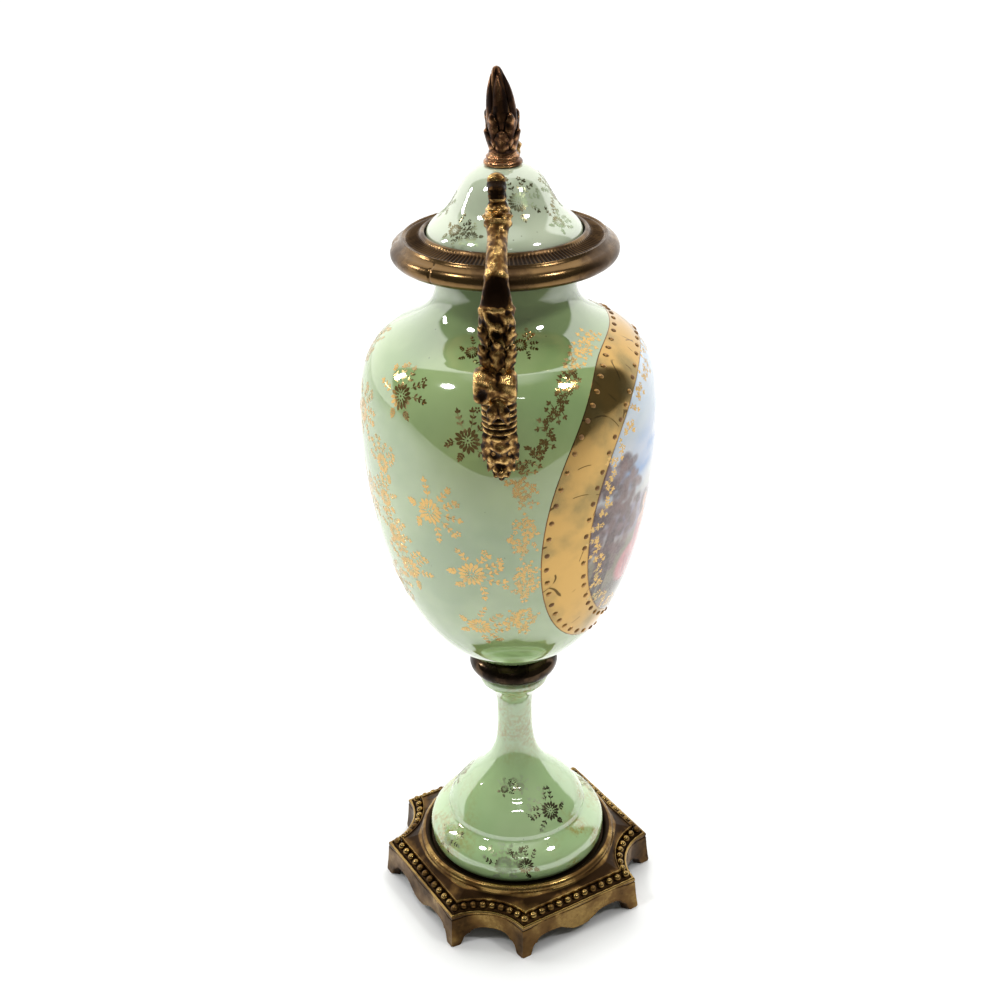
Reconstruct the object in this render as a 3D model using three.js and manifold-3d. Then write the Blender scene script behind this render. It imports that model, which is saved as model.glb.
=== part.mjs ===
// Mantel urn: a lidded porcelain urn on a tall foot, mounted in cast brass.
// Millimetres, +Z up. The origin is the middle of the base, on the table. The two handles
// lie on +X and -X, and the painted reserve faces -Y.
import * as THREE from "three";
import { mergeVertices } from "three/addons/utils/BufferGeometryUtils.js";
import Module from "manifold-3d";

// Fits
const TOUCH = 0.3; // gap left between two pieces that rest on each other
const SEAT_GAP = 0.5; // around the foot in the seat ring
const SLEEVE_GAP = 0.4; // between the neck and the collar's sleeve
const LID_GAP = 0.7; // around the lid inside the collar's lip
const FLANGE_GAP = 0.9; // around the lid's flange inside the neck

// Cast base: four straight sides with scooped corners between them
const BASE_HALF_WIDTH = 52.5; // middle of the base to the ridge of a straight side
const BASE_SIDE_HALF = 29.7; // half the ridge of a straight side
const BASE_SCOOP = 6.4; // depth of the curve of a scooped corner
const BASE_RIDGE_HEIGHT = 16.7;
const BASE_FLARE = 2.5; // the skirt's lean outwards at its feet
const BASE_WALL = 3.0;
const BASE_TURN = THREE.MathUtils.degToRad(33.6); // base against the handles
const BEAD_SIZE = 3.4; // height and width of the beaded moulding
const ARCH_HEIGHT = 9.0; // crown of the cut-outs between the bracket feet
const PENDANT_HEIGHT = 3.8; // underside of the drop in the middle of a straight side
const FOOT_TREAD = 3.6; // how far a bracket foot runs along each side
const SEAT_RING_TUBE = 2.3;
const SEAT_RING_HEIGHT = 25.2;
const SEAT_DEPTH = 2.2; // plate below the top of the seat ring
const PLATE_BORE = 20.0; // radius of the opening in the middle of the plate

// Porcelain foot
const FOOT_RADIUS = 40.7;
const FOOT_HEIGHT = 91.1;
const FOOT_BELLY_HEIGHT = 6.2; // height of its widest line above its own bottom
const FOOT_SEAT_RADIUS = 39.3;
const STEP_RADIUS = 32.4;
const STEP_HEIGHT = 16.6;
const BELL_RADIUS = 31.2;
const BELL_HEIGHT = 20.0;
const BELL_TURN_RADIUS = 20.8; // where the bell turns from round to hollow
const BELL_TURN_HEIGHT = 33.1;
const WAIST_RADIUS = 7.85;
const WAIST_HEIGHT = 66.2;
const FLARE_RADIUS = 15.2;
const PORCELAIN_WALL = 4.0;

// Brass knop between foot and body
const KNOP_RADIUS = 19.6;
const KNOP_TUBE = 4.8;

// Porcelain body
const BODY_HEIGHT = 187.4;
const BODY_RADIUS = 61.0;
const BODY_BELLY_HEIGHT = 114.4; // height of the widest line above the body's own bottom
const BODY_FOOT_RADIUS = 12.5;
const SHOULDER_RADIUS = 45.5; // where the shoulder turns from round to hollow
const SHOULDER_DROP = 34.6; // that turn below the mouth
const NECK_RADIUS = 28.2;
const NECK_LENGTH = 15.0; // upright part of the neck

// Brass collar on the neck
const LIP_RISE = 6.2; // crest of the lip above the porcelain mouth
const LEDGE_THICKNESS = 2.0; // ledge that the lid rests on
const LEDGE_BORE = 25.5;
const SLEEVE_WALL = 1.6;
const SLEEVE_DEPTH = 8.0;
const LIP_WALL = 1.1;
const RIDGE_RADIUS = 40.3;
const ROLL_RADIUS = 45.1; // outside of the half-round edge
const ROLL_TUBE = 3.8;

// Porcelain lid
const LID_RADIUS = 30.6;
const LID_HEIGHT = 28.4;
const LID_EDGE = 3.2; // upright edge of the brim
const LID_TURN_RADIUS = 19.9; // where the lid turns from hollow to round
const LID_TURN_HEIGHT = 15.4;
const LID_TOP_RADIUS = 8.6;
const LID_WALL = 3.5;
const FLANGE_DEPTH = 7.0;
const FLANGE_WALL = 2.8;

// Brass finial
const FINIAL_HEIGHT = 36.7;
const FINIAL_FOOT_RADIUS = 7.5;
const FINIAL_BUD_RADIUS = 5.7;

// Cast handles
const HANDLE_HEIGHT = 113.5; // lower tip to upper bud
const HANDLE_REACH = 20.0; // how far a handle stands out past the belly
const HANDLE_WIDTH = 13.6; // across its widest scroll
const HANDLE_DROP = 2.0; // lower tip above the belly line
const STRUT_RADIUS = 2.6; // strut from the handle to the collar

const TURN_SIDES = 28; // facets round each turned piece

// Heights above the table
const PLATE_TOP = SEAT_RING_HEIGHT - SEAT_DEPTH;
const FOOT_Z = PLATE_TOP + TOUCH;
const KNOP_Z = FOOT_Z + FOOT_HEIGHT + TOUCH;
const BODY_Z = KNOP_Z + 2 * KNOP_TUBE + TOUCH;
const SHOULDER_HEIGHT = BODY_HEIGHT - SHOULDER_DROP;
const NECK_HEIGHT = BODY_HEIGHT - NECK_LENGTH;
const MOUTH_Z = BODY_Z + BODY_HEIGHT;
const LEDGE_Z = MOUTH_Z + TOUCH;
const LID_Z = LEDGE_Z + LEDGE_THICKNESS + TOUCH;
const FINIAL_Z = LID_Z + LID_HEIGHT + TOUCH;
const LIP_Z = MOUTH_Z + LIP_RISE;

const wasm = await Module();
wasm.setup();

// A closed geometry as a solid that can be joined and cut.
function toSolid(geometry) {
  const bare = geometry.clone();
  for (const name of Object.keys(bare.attributes))
    if (name !== "position") bare.deleteAttribute(name);
  const merged = mergeVertices(bare, 1e-3);
  return new wasm.Manifold(
    new wasm.Mesh({
      numProp: 3,
      vertProperties: merged.attributes.position.array,
      triVerts: new Uint32Array(merged.index.array),
    }),
  );
}

// The solid back as a geometry.
function toGeometry(solid) {
  const mesh = solid.getMesh();
  const geometry = new THREE.BufferGeometry();
  const position = new THREE.BufferAttribute(mesh.vertProperties, 3);
  geometry.setAttribute("position", position);
  geometry.setIndex(new THREE.BufferAttribute(mesh.triVerts, 1));
  geometry.computeVertexNormals();
  return geometry;
}

// Curve from one point of a profile to another. Each end has a direction in degrees from
// the outward radius and a pull in millimetres.
function sweepLine(from, leave, pull, to, arrive, push, steps) {
  const a = THREE.MathUtils.degToRad(leave);
  const b = THREE.MathUtils.degToRad(arrive);
  return new THREE.CubicBezierCurve(
    new THREE.Vector2(...from),
    new THREE.Vector2(from[0] + pull * Math.cos(a), from[1] + pull * Math.sin(a)),
    new THREE.Vector2(to[0] - push * Math.cos(b), to[1] - push * Math.sin(b)),
    new THREE.Vector2(...to),
  ).getPoints(steps);
}

// Arc of a moulding about a centre, between two angles in degrees.
function arc(centre, radius, from, to, steps) {
  return Array.from({ length: steps + 1 }, (_, i) => {
    const t = THREE.MathUtils.degToRad(from + ((to - from) * i) / steps);
    return new THREE.Vector2(
      centre[0] + radius * Math.cos(t),
      centre[1] + radius * Math.sin(t),
    );
  });
}

const at = (r, z) => new THREE.Vector2(r, z);

// A line moved sideways by a wall thickness, to the left of its own direction.
function offset(line, wall) {
  return line.map((p, i) => {
    const before = line[Math.max(i - 1, 0)];
    const after = line[Math.min(i + 1, line.length - 1)];
    const run = after.clone().sub(before).normalize();
    return at(p.x - run.y * wall, p.y + run.x * wall);
  });
}

// A profile turned about the vertical axis.
function turned(profile, sides) {
  return new THREE.LatheGeometry(profile, sides).rotateX(Math.PI / 2);
}

// A skin over rings of equal count. Rings close on themselves, and the row of rings either
// closes too or ends in a point at each end.
function skin(rings, start, end) {
  const count = rings[0].length;
  const points = rings.flat();
  const faces = [];
  const rows = start ? rings.length - 1 : rings.length;
  for (let v = 0; v < rows; v++)
    for (let u = 0; u < count; u++) {
      const a = v * count + u;
      const b = v * count + ((u + 1) % count);
      const next = ((v + 1) % rings.length) * count;
      const c = next + ((u + 1) % count);
      const d = next + u;
      faces.push(a, b, c, a, c, d);
    }
  if (start) {
    const first = points.push(start) - 1;
    const last = points.push(end) - 1;
    const top = (rings.length - 1) * count;
    for (let u = 0; u < count; u++) {
      faces.push(first, (u + 1) % count, u);
      faces.push(last, top + u, top + ((u + 1) % count));
    }
  }
  const geometry = new THREE.BufferGeometry().setFromPoints(points);
  geometry.setIndex(faces);
  geometry.computeVertexNormals();
  return geometry;
}

// Base
const scoopHalf = (BASE_HALF_WIDTH - BASE_SIDE_HALF) / Math.SQRT2;
const scoopRadius = (scoopHalf ** 2 + BASE_SCOOP ** 2) / (2 * BASE_SCOOP);
const scoopCentre =
  (BASE_HALF_WIDTH + BASE_SIDE_HALF) / 2 + (scoopRadius - BASE_SCOOP) / Math.SQRT2;

// Half the length of a straight side on the outline drawn in by an inset.
function sideHalf(inset) {
  const across = scoopCentre - BASE_HALF_WIDTH + inset;
  return scoopCentre - Math.sqrt((scoopRadius + inset) ** 2 - across ** 2);
}

// Outline of the base, drawn in by an inset and blended towards a circle.
function baseRing(inset, z, circle = 0, blend = 0) {
  const half = sideHalf(inset);
  const reach = BASE_HALF_WIDTH - inset;
  const steps = 4;
  const ring = [];
  for (let side = 0; side < 4; side++) {
    const turn = (side * Math.PI) / 2;
    const corner = Math.atan2(half - scoopCentre, reach - scoopCentre);
    const swing = -Math.PI / 2 - 2 * (corner + (3 * Math.PI) / 4 - Math.PI / 4);
    for (let i = 0; i < steps; i++)
      ring.push(
        new THREE.Vector2(reach, -half + (2 * half * i) / steps).rotateAround(
          at(0, 0),
          turn,
        ),
      );
    for (let i = 0; i < steps; i++) {
      const t = corner + (swing * i) / steps;
      ring.push(
        at(
          scoopCentre + (scoopRadius + inset) * Math.cos(t),
          scoopCentre + (scoopRadius + inset) * Math.sin(t),
        ).rotateAround(at(0, 0), turn),
      );
    }
  }
  return ring.map((p) => {
    const t = Math.atan2(p.y, p.x);
    return new THREE.Vector3(
      THREE.MathUtils.lerp(p.x, circle * Math.cos(t), blend),
      THREE.MathUtils.lerp(p.y, circle * Math.sin(t), blend),
      z,
    );
  });
}

const ringInner = FOOT_RADIUS + SEAT_GAP;
const ringMiddle = ringInner + SEAT_RING_TUBE;
const ringCentreZ = SEAT_RING_HEIGHT - SEAT_RING_TUBE;
const seatRing = arc([ringMiddle, ringCentreZ], SEAT_RING_TUBE, 0, 180, 4).map((p) =>
  baseRing(0, p.y, p.x, 1),
);
const beadInset = 1.6 + BEAD_SIZE / 2;
const beadZ = BASE_RIDGE_HEIGHT + 1.4;
const beadRow = arc([0, 0], BEAD_SIZE / 2, -20, 110, 3).map((p) =>
  baseRing(beadInset - p.x, beadZ + p.y),
);
const baseShell = skin([
  baseRing(-BASE_FLARE, 0),
  baseRing(-0.2, BASE_RIDGE_HEIGHT - 0.8),
  baseRing(0.3, BASE_RIDGE_HEIGHT),
  baseRing(1.1, BASE_RIDGE_HEIGHT - 0.4),
  ...beadRow,
  baseRing(1.9 + BEAD_SIZE, beadZ + 2.0),
  baseRing(2.3 + BEAD_SIZE, beadZ + 3.4),
  baseRing(0, ringCentreZ - 0.6, ringMiddle + SEAT_RING_TUBE, 1),
  ...seatRing,
  baseRing(0, PLATE_TOP, ringInner, 1),
  baseRing(0, PLATE_TOP, PLATE_BORE, 1),
  baseRing(0, PLATE_TOP - BASE_WALL, PLATE_BORE, 1),
  baseRing(0, PLATE_TOP - BASE_WALL, ringMiddle - BASE_WALL, 1),
  baseRing(BASE_WALL, BASE_RIDGE_HEIGHT - BASE_WALL),
  baseRing(BASE_WALL - BASE_FLARE, 0),
]);

// Outline of the cut-out between the feet of a straight side, drawn upright.
function sideArch() {
  const tread = sideHalf(-BASE_FLARE) - FOOT_TREAD;
  const spring = tread - 4.1;
  const crown = ARCH_HEIGHT;
  const shape = new THREE.Shape();
  shape.moveTo(tread, -1);
  shape.lineTo(tread, 0);
  shape.quadraticCurveTo(spring + 0.6, 0.2 * crown, spring, 0.65 * crown);
  shape.lineTo(spring - 0.8, 0.74 * crown);
  shape.bezierCurveTo(spring - 2, crown, spring - 5, crown, spring - 9, crown);
  shape.quadraticCurveTo(0.3 * spring, crown, 0.2 * spring, 0.7 * crown);
  shape.lineTo(0.17 * spring, 0.66 * crown);
  shape.quadraticCurveTo(0.15 * spring, PENDANT_HEIGHT, 0, PENDANT_HEIGHT);
  const right = shape.getPoints(2);
  const left = right
    .slice(0, -1)
    .reverse()
    .map((p) => at(-p.x, p.y));
  return new THREE.Shape([...right, ...left]);
}

// Outline of the cut-out in a scooped corner.
function scoopArch() {
  const half = (BASE_HALF_WIDTH + BASE_FLARE - sideHalf(-BASE_FLARE)) / Math.SQRT2;
  const tread = half - FOOT_TREAD;
  const spring = tread - 4.0;
  const crown = 0.93 * ARCH_HEIGHT;
  const shape = new THREE.Shape();
  shape.moveTo(tread, -1);
  shape.lineTo(tread, 0);
  shape.quadraticCurveTo(spring + 0.6, 0.2 * crown, spring, 0.7 * crown);
  shape.lineTo(spring - 0.8, 0.77 * crown);
  shape.quadraticCurveTo(0.6 * spring, crown, 0, crown);
  const right = shape.getPoints(2);
  const left = right
    .slice(0, -1)
    .reverse()
    .map((p) => at(-p.x, p.y));
  return new THREE.Shape([...right, ...left]);
}

// Prism of an arch, standing across the wall that faces a direction.
function archCutter(shape, direction, reach, depth) {
  const turn = new THREE.Matrix4().makeBasis(
    new THREE.Vector3(-Math.sin(direction), Math.cos(direction), 0),
    new THREE.Vector3(0, 0, 1),
    new THREE.Vector3(Math.cos(direction), Math.sin(direction), 0),
  );
  return new THREE.ExtrudeGeometry(shape, { depth, bevelEnabled: false })
    .translate(0, 0, reach - depth)
    .applyMatrix4(turn);
}

let baseSolid = toSolid(baseShell);
for (let side = 0; side < 4; side++) {
  const straight = (side * Math.PI) / 2;
  const sideReach = BASE_HALF_WIDTH + BASE_FLARE + 2;
  const scoopReach = (sideReach + sideHalf(-BASE_FLARE)) / Math.SQRT2;
  const sideCut = archCutter(sideArch(), straight, sideReach, 2 * BASE_WALL + 4);
  const scoopCut = archCutter(
    scoopArch(),
    straight + Math.PI / 4,
    scoopReach,
    BASE_SCOOP + 2 * BASE_WALL + 4,
  );
  baseSolid = baseSolid.subtract(toSolid(sideCut)).subtract(toSolid(scoopCut));
}

// Porcelain foot: a stepped bell, open below, rising to a slender stem
const footOuter = [
  ...sweepLine(
    [FOOT_SEAT_RADIUS, 0],
    62,
    2.6,
    [FOOT_RADIUS, FOOT_BELLY_HEIGHT],
    90,
    2.4,
    2,
  ),
  ...sweepLine(
    [FOOT_RADIUS, FOOT_BELLY_HEIGHT],
    89,
    5.2,
    [STEP_RADIUS, STEP_HEIGHT],
    150,
    4.7,
    3,
  ).slice(1),
  at(BELL_RADIUS + 0.5, STEP_HEIGHT + 0.7),
  at(BELL_RADIUS + 0.3, BELL_HEIGHT - 0.5),
];
const bellOuter = [
  ...sweepLine(
    [BELL_RADIUS, BELL_HEIGHT],
    115,
    6.9,
    [BELL_TURN_RADIUS, BELL_TURN_HEIGHT],
    132,
    5.9,
    3,
  ),
  ...sweepLine(
    [BELL_TURN_RADIUS, BELL_TURN_HEIGHT],
    138,
    15.1,
    [WAIST_RADIUS, WAIST_HEIGHT],
    90,
    15.7,
    4,
  ).slice(1),
];
const stemOuter = [
  ...sweepLine(
    [WAIST_RADIUS, WAIST_HEIGHT],
    90,
    12.7,
    [FLARE_RADIUS, FOOT_HEIGHT - 4.4],
    49,
    9.9,
    3,
  ).slice(1),
  at(FLARE_RADIUS + 0.4, FOOT_HEIGHT - 1.6),
  at(FLARE_RADIUS - 0.4, FOOT_HEIGHT),
];
const footInner = offset([...footOuter, ...bellOuter], PORCELAIN_WALL)
  .filter((p, i) => i % 2 === 1 && p.y < WAIST_HEIGHT - 12)
  .reverse();
const footProfile = [
  at(FOOT_SEAT_RADIUS - PORCELAIN_WALL, 0),
  ...footOuter,
  ...bellOuter,
  ...stemOuter,
  at(0, FOOT_HEIGHT),
  at(0, footInner[0].y + 0.5 * footInner[0].x),
  ...footInner,
  at(FOOT_SEAT_RADIUS - PORCELAIN_WALL, 0),
];

// Knop: a thick polished ring with flat seats
const knopProfile = [
  at(0, 0),
  ...arc([KNOP_RADIUS - KNOP_TUBE, KNOP_TUBE], KNOP_TUBE, -90, 90, 5),
  at(0, 2 * KNOP_TUBE),
];

// Body: an egg-shaped vase with a short neck, open at the top
const bodyBelly = sweepLine(
  [BODY_FOOT_RADIUS, 0],
  20,
  39.9,
  [BODY_RADIUS, BODY_BELLY_HEIGHT],
  90,
  42,
  8,
);
const bodyShoulder = sweepLine(
  [BODY_RADIUS, BODY_BELLY_HEIGHT],
  90,
  15.2,
  [SHOULDER_RADIUS, SHOULDER_HEIGHT],
  155,
  15.7,
  6,
).slice(1);
const bodyNeck = sweepLine(
  [SHOULDER_RADIUS, SHOULDER_HEIGHT],
  151,
  10.7,
  [NECK_RADIUS, NECK_HEIGHT],
  90,
  10.3,
  4,
).slice(1);
const bodyOuter = [...bodyBelly, ...bodyShoulder, ...bodyNeck, at(NECK_RADIUS, BODY_HEIGHT)];
const neckBore = NECK_RADIUS - PORCELAIN_WALL;
const bodyInner = offset(bodyOuter, PORCELAIN_WALL)
  .filter((p, i) => i % 3 === 2)
  .filter((p) => p.y > PORCELAIN_WALL + 3 && p.y < NECK_HEIGHT)
  .reverse();
const bodyProfile = [
  at(0, 0),
  ...bodyOuter,
  at(neckBore, BODY_HEIGHT),
  at(neckBore, NECK_HEIGHT),
  ...bodyInner,
  at(0, PORCELAIN_WALL + 1),
];

// Collar: a sleeve on the neck, a ledge for the lid, a sloping band and a rolled edge
const rollMiddle = ROLL_RADIUS - ROLL_TUBE;
const rollZ = LIP_Z - 8.0;
const lipInner = LID_RADIUS + LID_GAP;
const sleeveInner = NECK_RADIUS + SLEEVE_GAP;
const sleeveOuter = sleeveInner + SLEEVE_WALL;
const ridgeZ = LIP_Z - 2.3;
const collarProfile = [
  at(LEDGE_BORE, LEDGE_Z),
  at(sleeveInner, LEDGE_Z),
  at(sleeveInner, LEDGE_Z - SLEEVE_DEPTH),
  at(sleeveOuter, LEDGE_Z - SLEEVE_DEPTH),
  at(sleeveOuter, rollZ - 0.8 * ROLL_TUBE),
  ...arc([rollMiddle, rollZ], ROLL_TUBE, -90, 90, 5),
  at(RIDGE_RADIUS + 0.3, ridgeZ - 1.2),
  at(RIDGE_RADIUS, ridgeZ),
  at(RIDGE_RADIUS - 0.9, ridgeZ - 0.6),
  at(lipInner + LIP_WALL + 0.6, LIP_Z - 0.6),
  at(lipInner + LIP_WALL, LIP_Z),
  at(lipInner + 0.3, LIP_Z),
  at(lipInner, LIP_Z - 0.5),
  at(lipInner, LEDGE_Z + LEDGE_THICKNESS),
  at(LEDGE_BORE, LEDGE_Z + LEDGE_THICKNESS),
  at(LEDGE_BORE, LEDGE_Z),
];

// Lid: a hollow bell with a locating flange
const lidOuter = [
  ...sweepLine(
    [LID_RADIUS, LID_EDGE],
    109,
    4.6,
    [LID_TURN_RADIUS, LID_TURN_HEIGHT],
    118,
    7.0,
    4,
  ),
  ...sweepLine(
    [LID_TURN_RADIUS, LID_TURN_HEIGHT],
    121,
    6.7,
    [LID_TOP_RADIUS, LID_HEIGHT - 0.2],
    157,
    7.3,
    4,
  ).slice(1),
];
const flangeOuter = neckBore - FLANGE_GAP;
const flangeInner = flangeOuter - FLANGE_WALL;
const lidInner = offset(lidOuter, LID_WALL)
  .filter((p, i) => p.x < flangeInner - 0.5 && i % 2 === 1)
  .reverse();
const lidProfile = [
  at(0, lidInner[0].y + 0.4),
  ...lidInner,
  at(flangeInner, LID_EDGE + 0.5),
  at(flangeInner, -FLANGE_DEPTH),
  at(flangeOuter, -FLANGE_DEPTH),
  at(flangeOuter, 0),
  at(LID_RADIUS - 0.4, 0),
  at(LID_RADIUS, 0.4),
  ...lidOuter,
  at(LID_TOP_RADIUS - 0.8, LID_HEIGHT),
  at(0, LID_HEIGHT),
];

// Finial: a bud wrapped in leaves on a ringed foot. Heights and radii are shares of its
// height and bud radius, and the leaf count fades in and out along the bud.
const FINIAL_SIDES = 15;
const finialLine = new THREE.SplineCurve([
  at(0.95, 0.11),
  at(0.86, 0.19),
  at(0.98, 0.3),
  at(1.0, 0.45),
  at(0.95, 0.57),
  at(0.8, 0.7),
  at(0.62, 0.83),
  at(0.42, 0.94),
  at(0.2, 0.99),
]).getPoints(10);
const finialRings = [
  [FINIAL_FOOT_RADIUS - 0.3, 0],
  [FINIAL_FOOT_RADIUS, 0.9],
  [FINIAL_FOOT_RADIUS - 0.3, 1.8],
  [FINIAL_FOOT_RADIUS - 0.9, 2.2],
  [FINIAL_FOOT_RADIUS - 0.8, 2.9],
  [FINIAL_FOOT_RADIUS - 1.7, 3.6],
  ...finialLine.map((p) => [p.x * FINIAL_BUD_RADIUS, p.y * FINIAL_HEIGHT]),
].map(([r, z]) =>
  Array.from({ length: FINIAL_SIDES }, (_, i) => {
    const t = (i / FINIAL_SIDES) * 2 * Math.PI;
    const share = THREE.MathUtils.smoothstep(z / FINIAL_HEIGHT, 0.12, 0.3);
    const fade = share * (1 - THREE.MathUtils.smoothstep(z / FINIAL_HEIGHT, 0.6, 0.9));
    const leaf = r * (1 + 0.09 * fade * Math.cos(5 * t));
    return new THREE.Vector3(leaf * Math.cos(t), leaf * Math.sin(t), z);
  }),
);
const finialSkin = skin(
  finialRings,
  new THREE.Vector3(0, 0, 0),
  new THREE.Vector3(0, 0, FINIAL_HEIGHT),
);

// Handle: an S-scroll that stands on the shoulder, swings out past the belly, and curls
// above the collar. Each station is [share of the reach beyond the belly, share of the
// height, half thickness, half width], the last two in shares of the handle's width.
const handleStations = [
  [0.1, 0.01, 0.15, 0.19],
  [0.22, 0.07, 0.3, 0.34],
  [0.4, 0.145, 0.33, 0.43],
  [0.55, 0.22, 0.26, 0.38],
  [0.63, 0.285, 0.26, 0.36],
  [0.7, 0.37, 0.34, 0.4],
  [0.56, 0.455, 0.24, 0.28],
  [0.58, 0.545, 0.25, 0.46],
  [0.64, 0.63, 0.26, 0.35],
  [0.5, 0.705, 0.25, 0.3],
  [0.13, 0.765, 0.23, 0.23],
  [-0.26, 0.8, 0.22, 0.22],
  [-0.5, 0.845, 0.29, 0.3],
  [-0.58, 0.89, 0.2, 0.2],
  [-0.55, 0.93, 0.18, 0.18],
  [-0.4, 0.957, 0.19, 0.19],
  [-0.24, 0.948, 0.18, 0.19],
  [-0.19, 0.922, 0.13, 0.17],
];
const tipZ = BODY_Z + BODY_BELLY_HEIGHT + HANDLE_DROP;
const handlePoint = (share, rise) =>
  new THREE.Vector3(
    BODY_RADIUS + share * HANDLE_REACH,
    0,
    tipZ + rise * HANDLE_HEIGHT,
  );

// A tube of oval section along a line in the XZ plane.
function ovalTube(centres, thickness, width, sides) {
  const path = new THREE.CatmullRomCurve3(centres, false, "centripetal");
  const thick = new THREE.SplineCurve(thickness.map((t, i) => at(i, t)));
  const wide = new THREE.SplineCurve(width.map((w, i) => at(i, w)));
  const steps = Math.round(1.6 * (centres.length - 1));
  const across = new THREE.Vector3(0, 1, 0);
  const rings = Array.from({ length: steps + 1 }, (_, i) => {
    const t = i / steps;
    const centre = path.getPoint(t);
    const side = across.clone().cross(path.getTangent(t));
    const a = thick.getPoint(t).y;
    const b = wide.getPoint(t).y;
    return Array.from({ length: sides }, (_, k) => {
      const turn = (k / sides) * 2 * Math.PI;
      return centre
        .clone()
        .addScaledVector(side, a * Math.cos(turn))
        .addScaledVector(across, b * Math.sin(turn));
    });
  });
  return skin(rings, path.getPoint(0), path.getPoint(1));
}

const handleCentres = handleStations.map(([share, rise]) => handlePoint(share, rise));
const scrollPiece = ovalTube(
  handleCentres,
  handleStations.map((s) => s[2] * HANDLE_WIDTH),
  handleStations.map((s) => s[3] * HANDLE_WIDTH),
  8,
);
// Rolled scroll at the middle of the handle, lying across it
const volute = new THREE.LatheGeometry(
  [
    at(0, -0.5 * HANDLE_WIDTH),
    at(0.26 * HANDLE_WIDTH, -0.5 * HANDLE_WIDTH),
    at(0.4 * HANDLE_WIDTH, -0.4 * HANDLE_WIDTH),
    at(0.34 * HANDLE_WIDTH, 0),
    at(0.4 * HANDLE_WIDTH, 0.4 * HANDLE_WIDTH),
    at(0.26 * HANDLE_WIDTH, 0.5 * HANDLE_WIDTH),
    at(0, 0.5 * HANDLE_WIDTH),
  ],
  12,
).translate(
  BODY_RADIUS + 0.76 * HANDLE_REACH,
  0,
  tipZ + 0.375 * HANDLE_HEIGHT,
);
const strutFoot = new THREE.Vector3(rollMiddle + 0.5 * ROLL_TUBE, 0, rollZ);
const strut = ovalTube(
  [
    handlePoint(0.1, 0.765),
    handlePoint(-0.3, 0.715),
    strutFoot.clone().add(new THREE.Vector3(ROLL_TUBE, 0, ROLL_TUBE)),
    strutFoot,
  ],
  [1, 1, 1, 1.2].map((s) => s * STRUT_RADIUS),
  [1, 1, 1, 1.2].map((s) => s * STRUT_RADIUS),
  8,
);
const bud = new THREE.SphereGeometry(0.13 * HANDLE_WIDTH, 6, 5)
  .scale(1, 1, 1.3)
  .translate(BODY_RADIUS - 0.38 * HANDLE_REACH, 0, tipZ + 0.976 * HANDLE_HEIGHT);

// Room kept clear of the handles around the body and the collar
const bodyRoom = turned(
  [at(0, 0), ...offset(bodyOuter, -TOUCH), at(0, BODY_HEIGHT)],
  TURN_SIDES,
).translate(0, 0, BODY_Z);
const collarRoom = turned(
  [
    at(0, rollZ - ROLL_TUBE),
    ...arc([rollMiddle, rollZ], ROLL_TUBE + TOUCH, -90, 90, 6),
    at(0, rollZ + ROLL_TUBE),
  ],
  TURN_SIDES,
);
const handleSolid = toSolid(scrollPiece)
  .add(toSolid(volute))
  .add(toSolid(strut))
  .add(toSolid(bud))
  .subtract(toSolid(bodyRoom))
  .subtract(toSolid(collarRoom));

// Materials
const glaze = { color: 0xb9cfa6, roughness: 0.08, metalness: 0.0 };
const looks = {
  base: { color: 0x8a6a33, roughness: 0.38, metalness: 0.95 },
  foot: glaze,
  knop: { color: 0x2a1f18, roughness: 0.25, metalness: 0.95 },
  body: glaze,
  collar: { color: 0x5c4129, roughness: 0.34, metalness: 0.95 },
  lid: glaze,
  finial: { color: 0x5a3a2b, roughness: 0.36, metalness: 0.95 },
  handle: { color: 0xa27c35, roughness: 0.32, metalness: 0.95 },
};

function piece(name, geometry, look, z = 0, turn = 0) {
  const mesh = new THREE.Mesh(geometry, new THREE.MeshStandardMaterial(look));
  mesh.name = name;
  mesh.position.z = z;
  mesh.rotation.z = turn;
  return mesh;
}

const urn = new THREE.Group();
const vessel = new THREE.Group();
const cover = new THREE.Group();
urn.add(piece("base", toGeometry(baseSolid), looks.base, 0, BASE_TURN));
urn.add(piece("foot", turned(footProfile, TURN_SIDES), looks.foot, FOOT_Z));
urn.add(piece("knop", turned(knopProfile, TURN_SIDES), looks.knop, KNOP_Z));
vessel.add(piece("body", turned(bodyProfile, TURN_SIDES), looks.body, BODY_Z));
vessel.add(piece("collar", turned(collarProfile, TURN_SIDES), looks.collar));
vessel.add(piece("handle_right", toGeometry(handleSolid), looks.handle));
vessel.add(piece("handle_left", toGeometry(handleSolid), looks.handle, 0, Math.PI));
cover.add(piece("lid", turned(lidProfile, TURN_SIDES), looks.lid, LID_Z));
cover.add(piece("finial", finialSkin, looks.finial, FINIAL_Z));
urn.add(vessel, cover);

export default urn;
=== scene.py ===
"""A lidded mantel urn of pale green lustre porcelain, mounted in cast and gilt brass."""

import bmesh
import bpy
import numpy as np
from mathutils import Matrix


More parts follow.
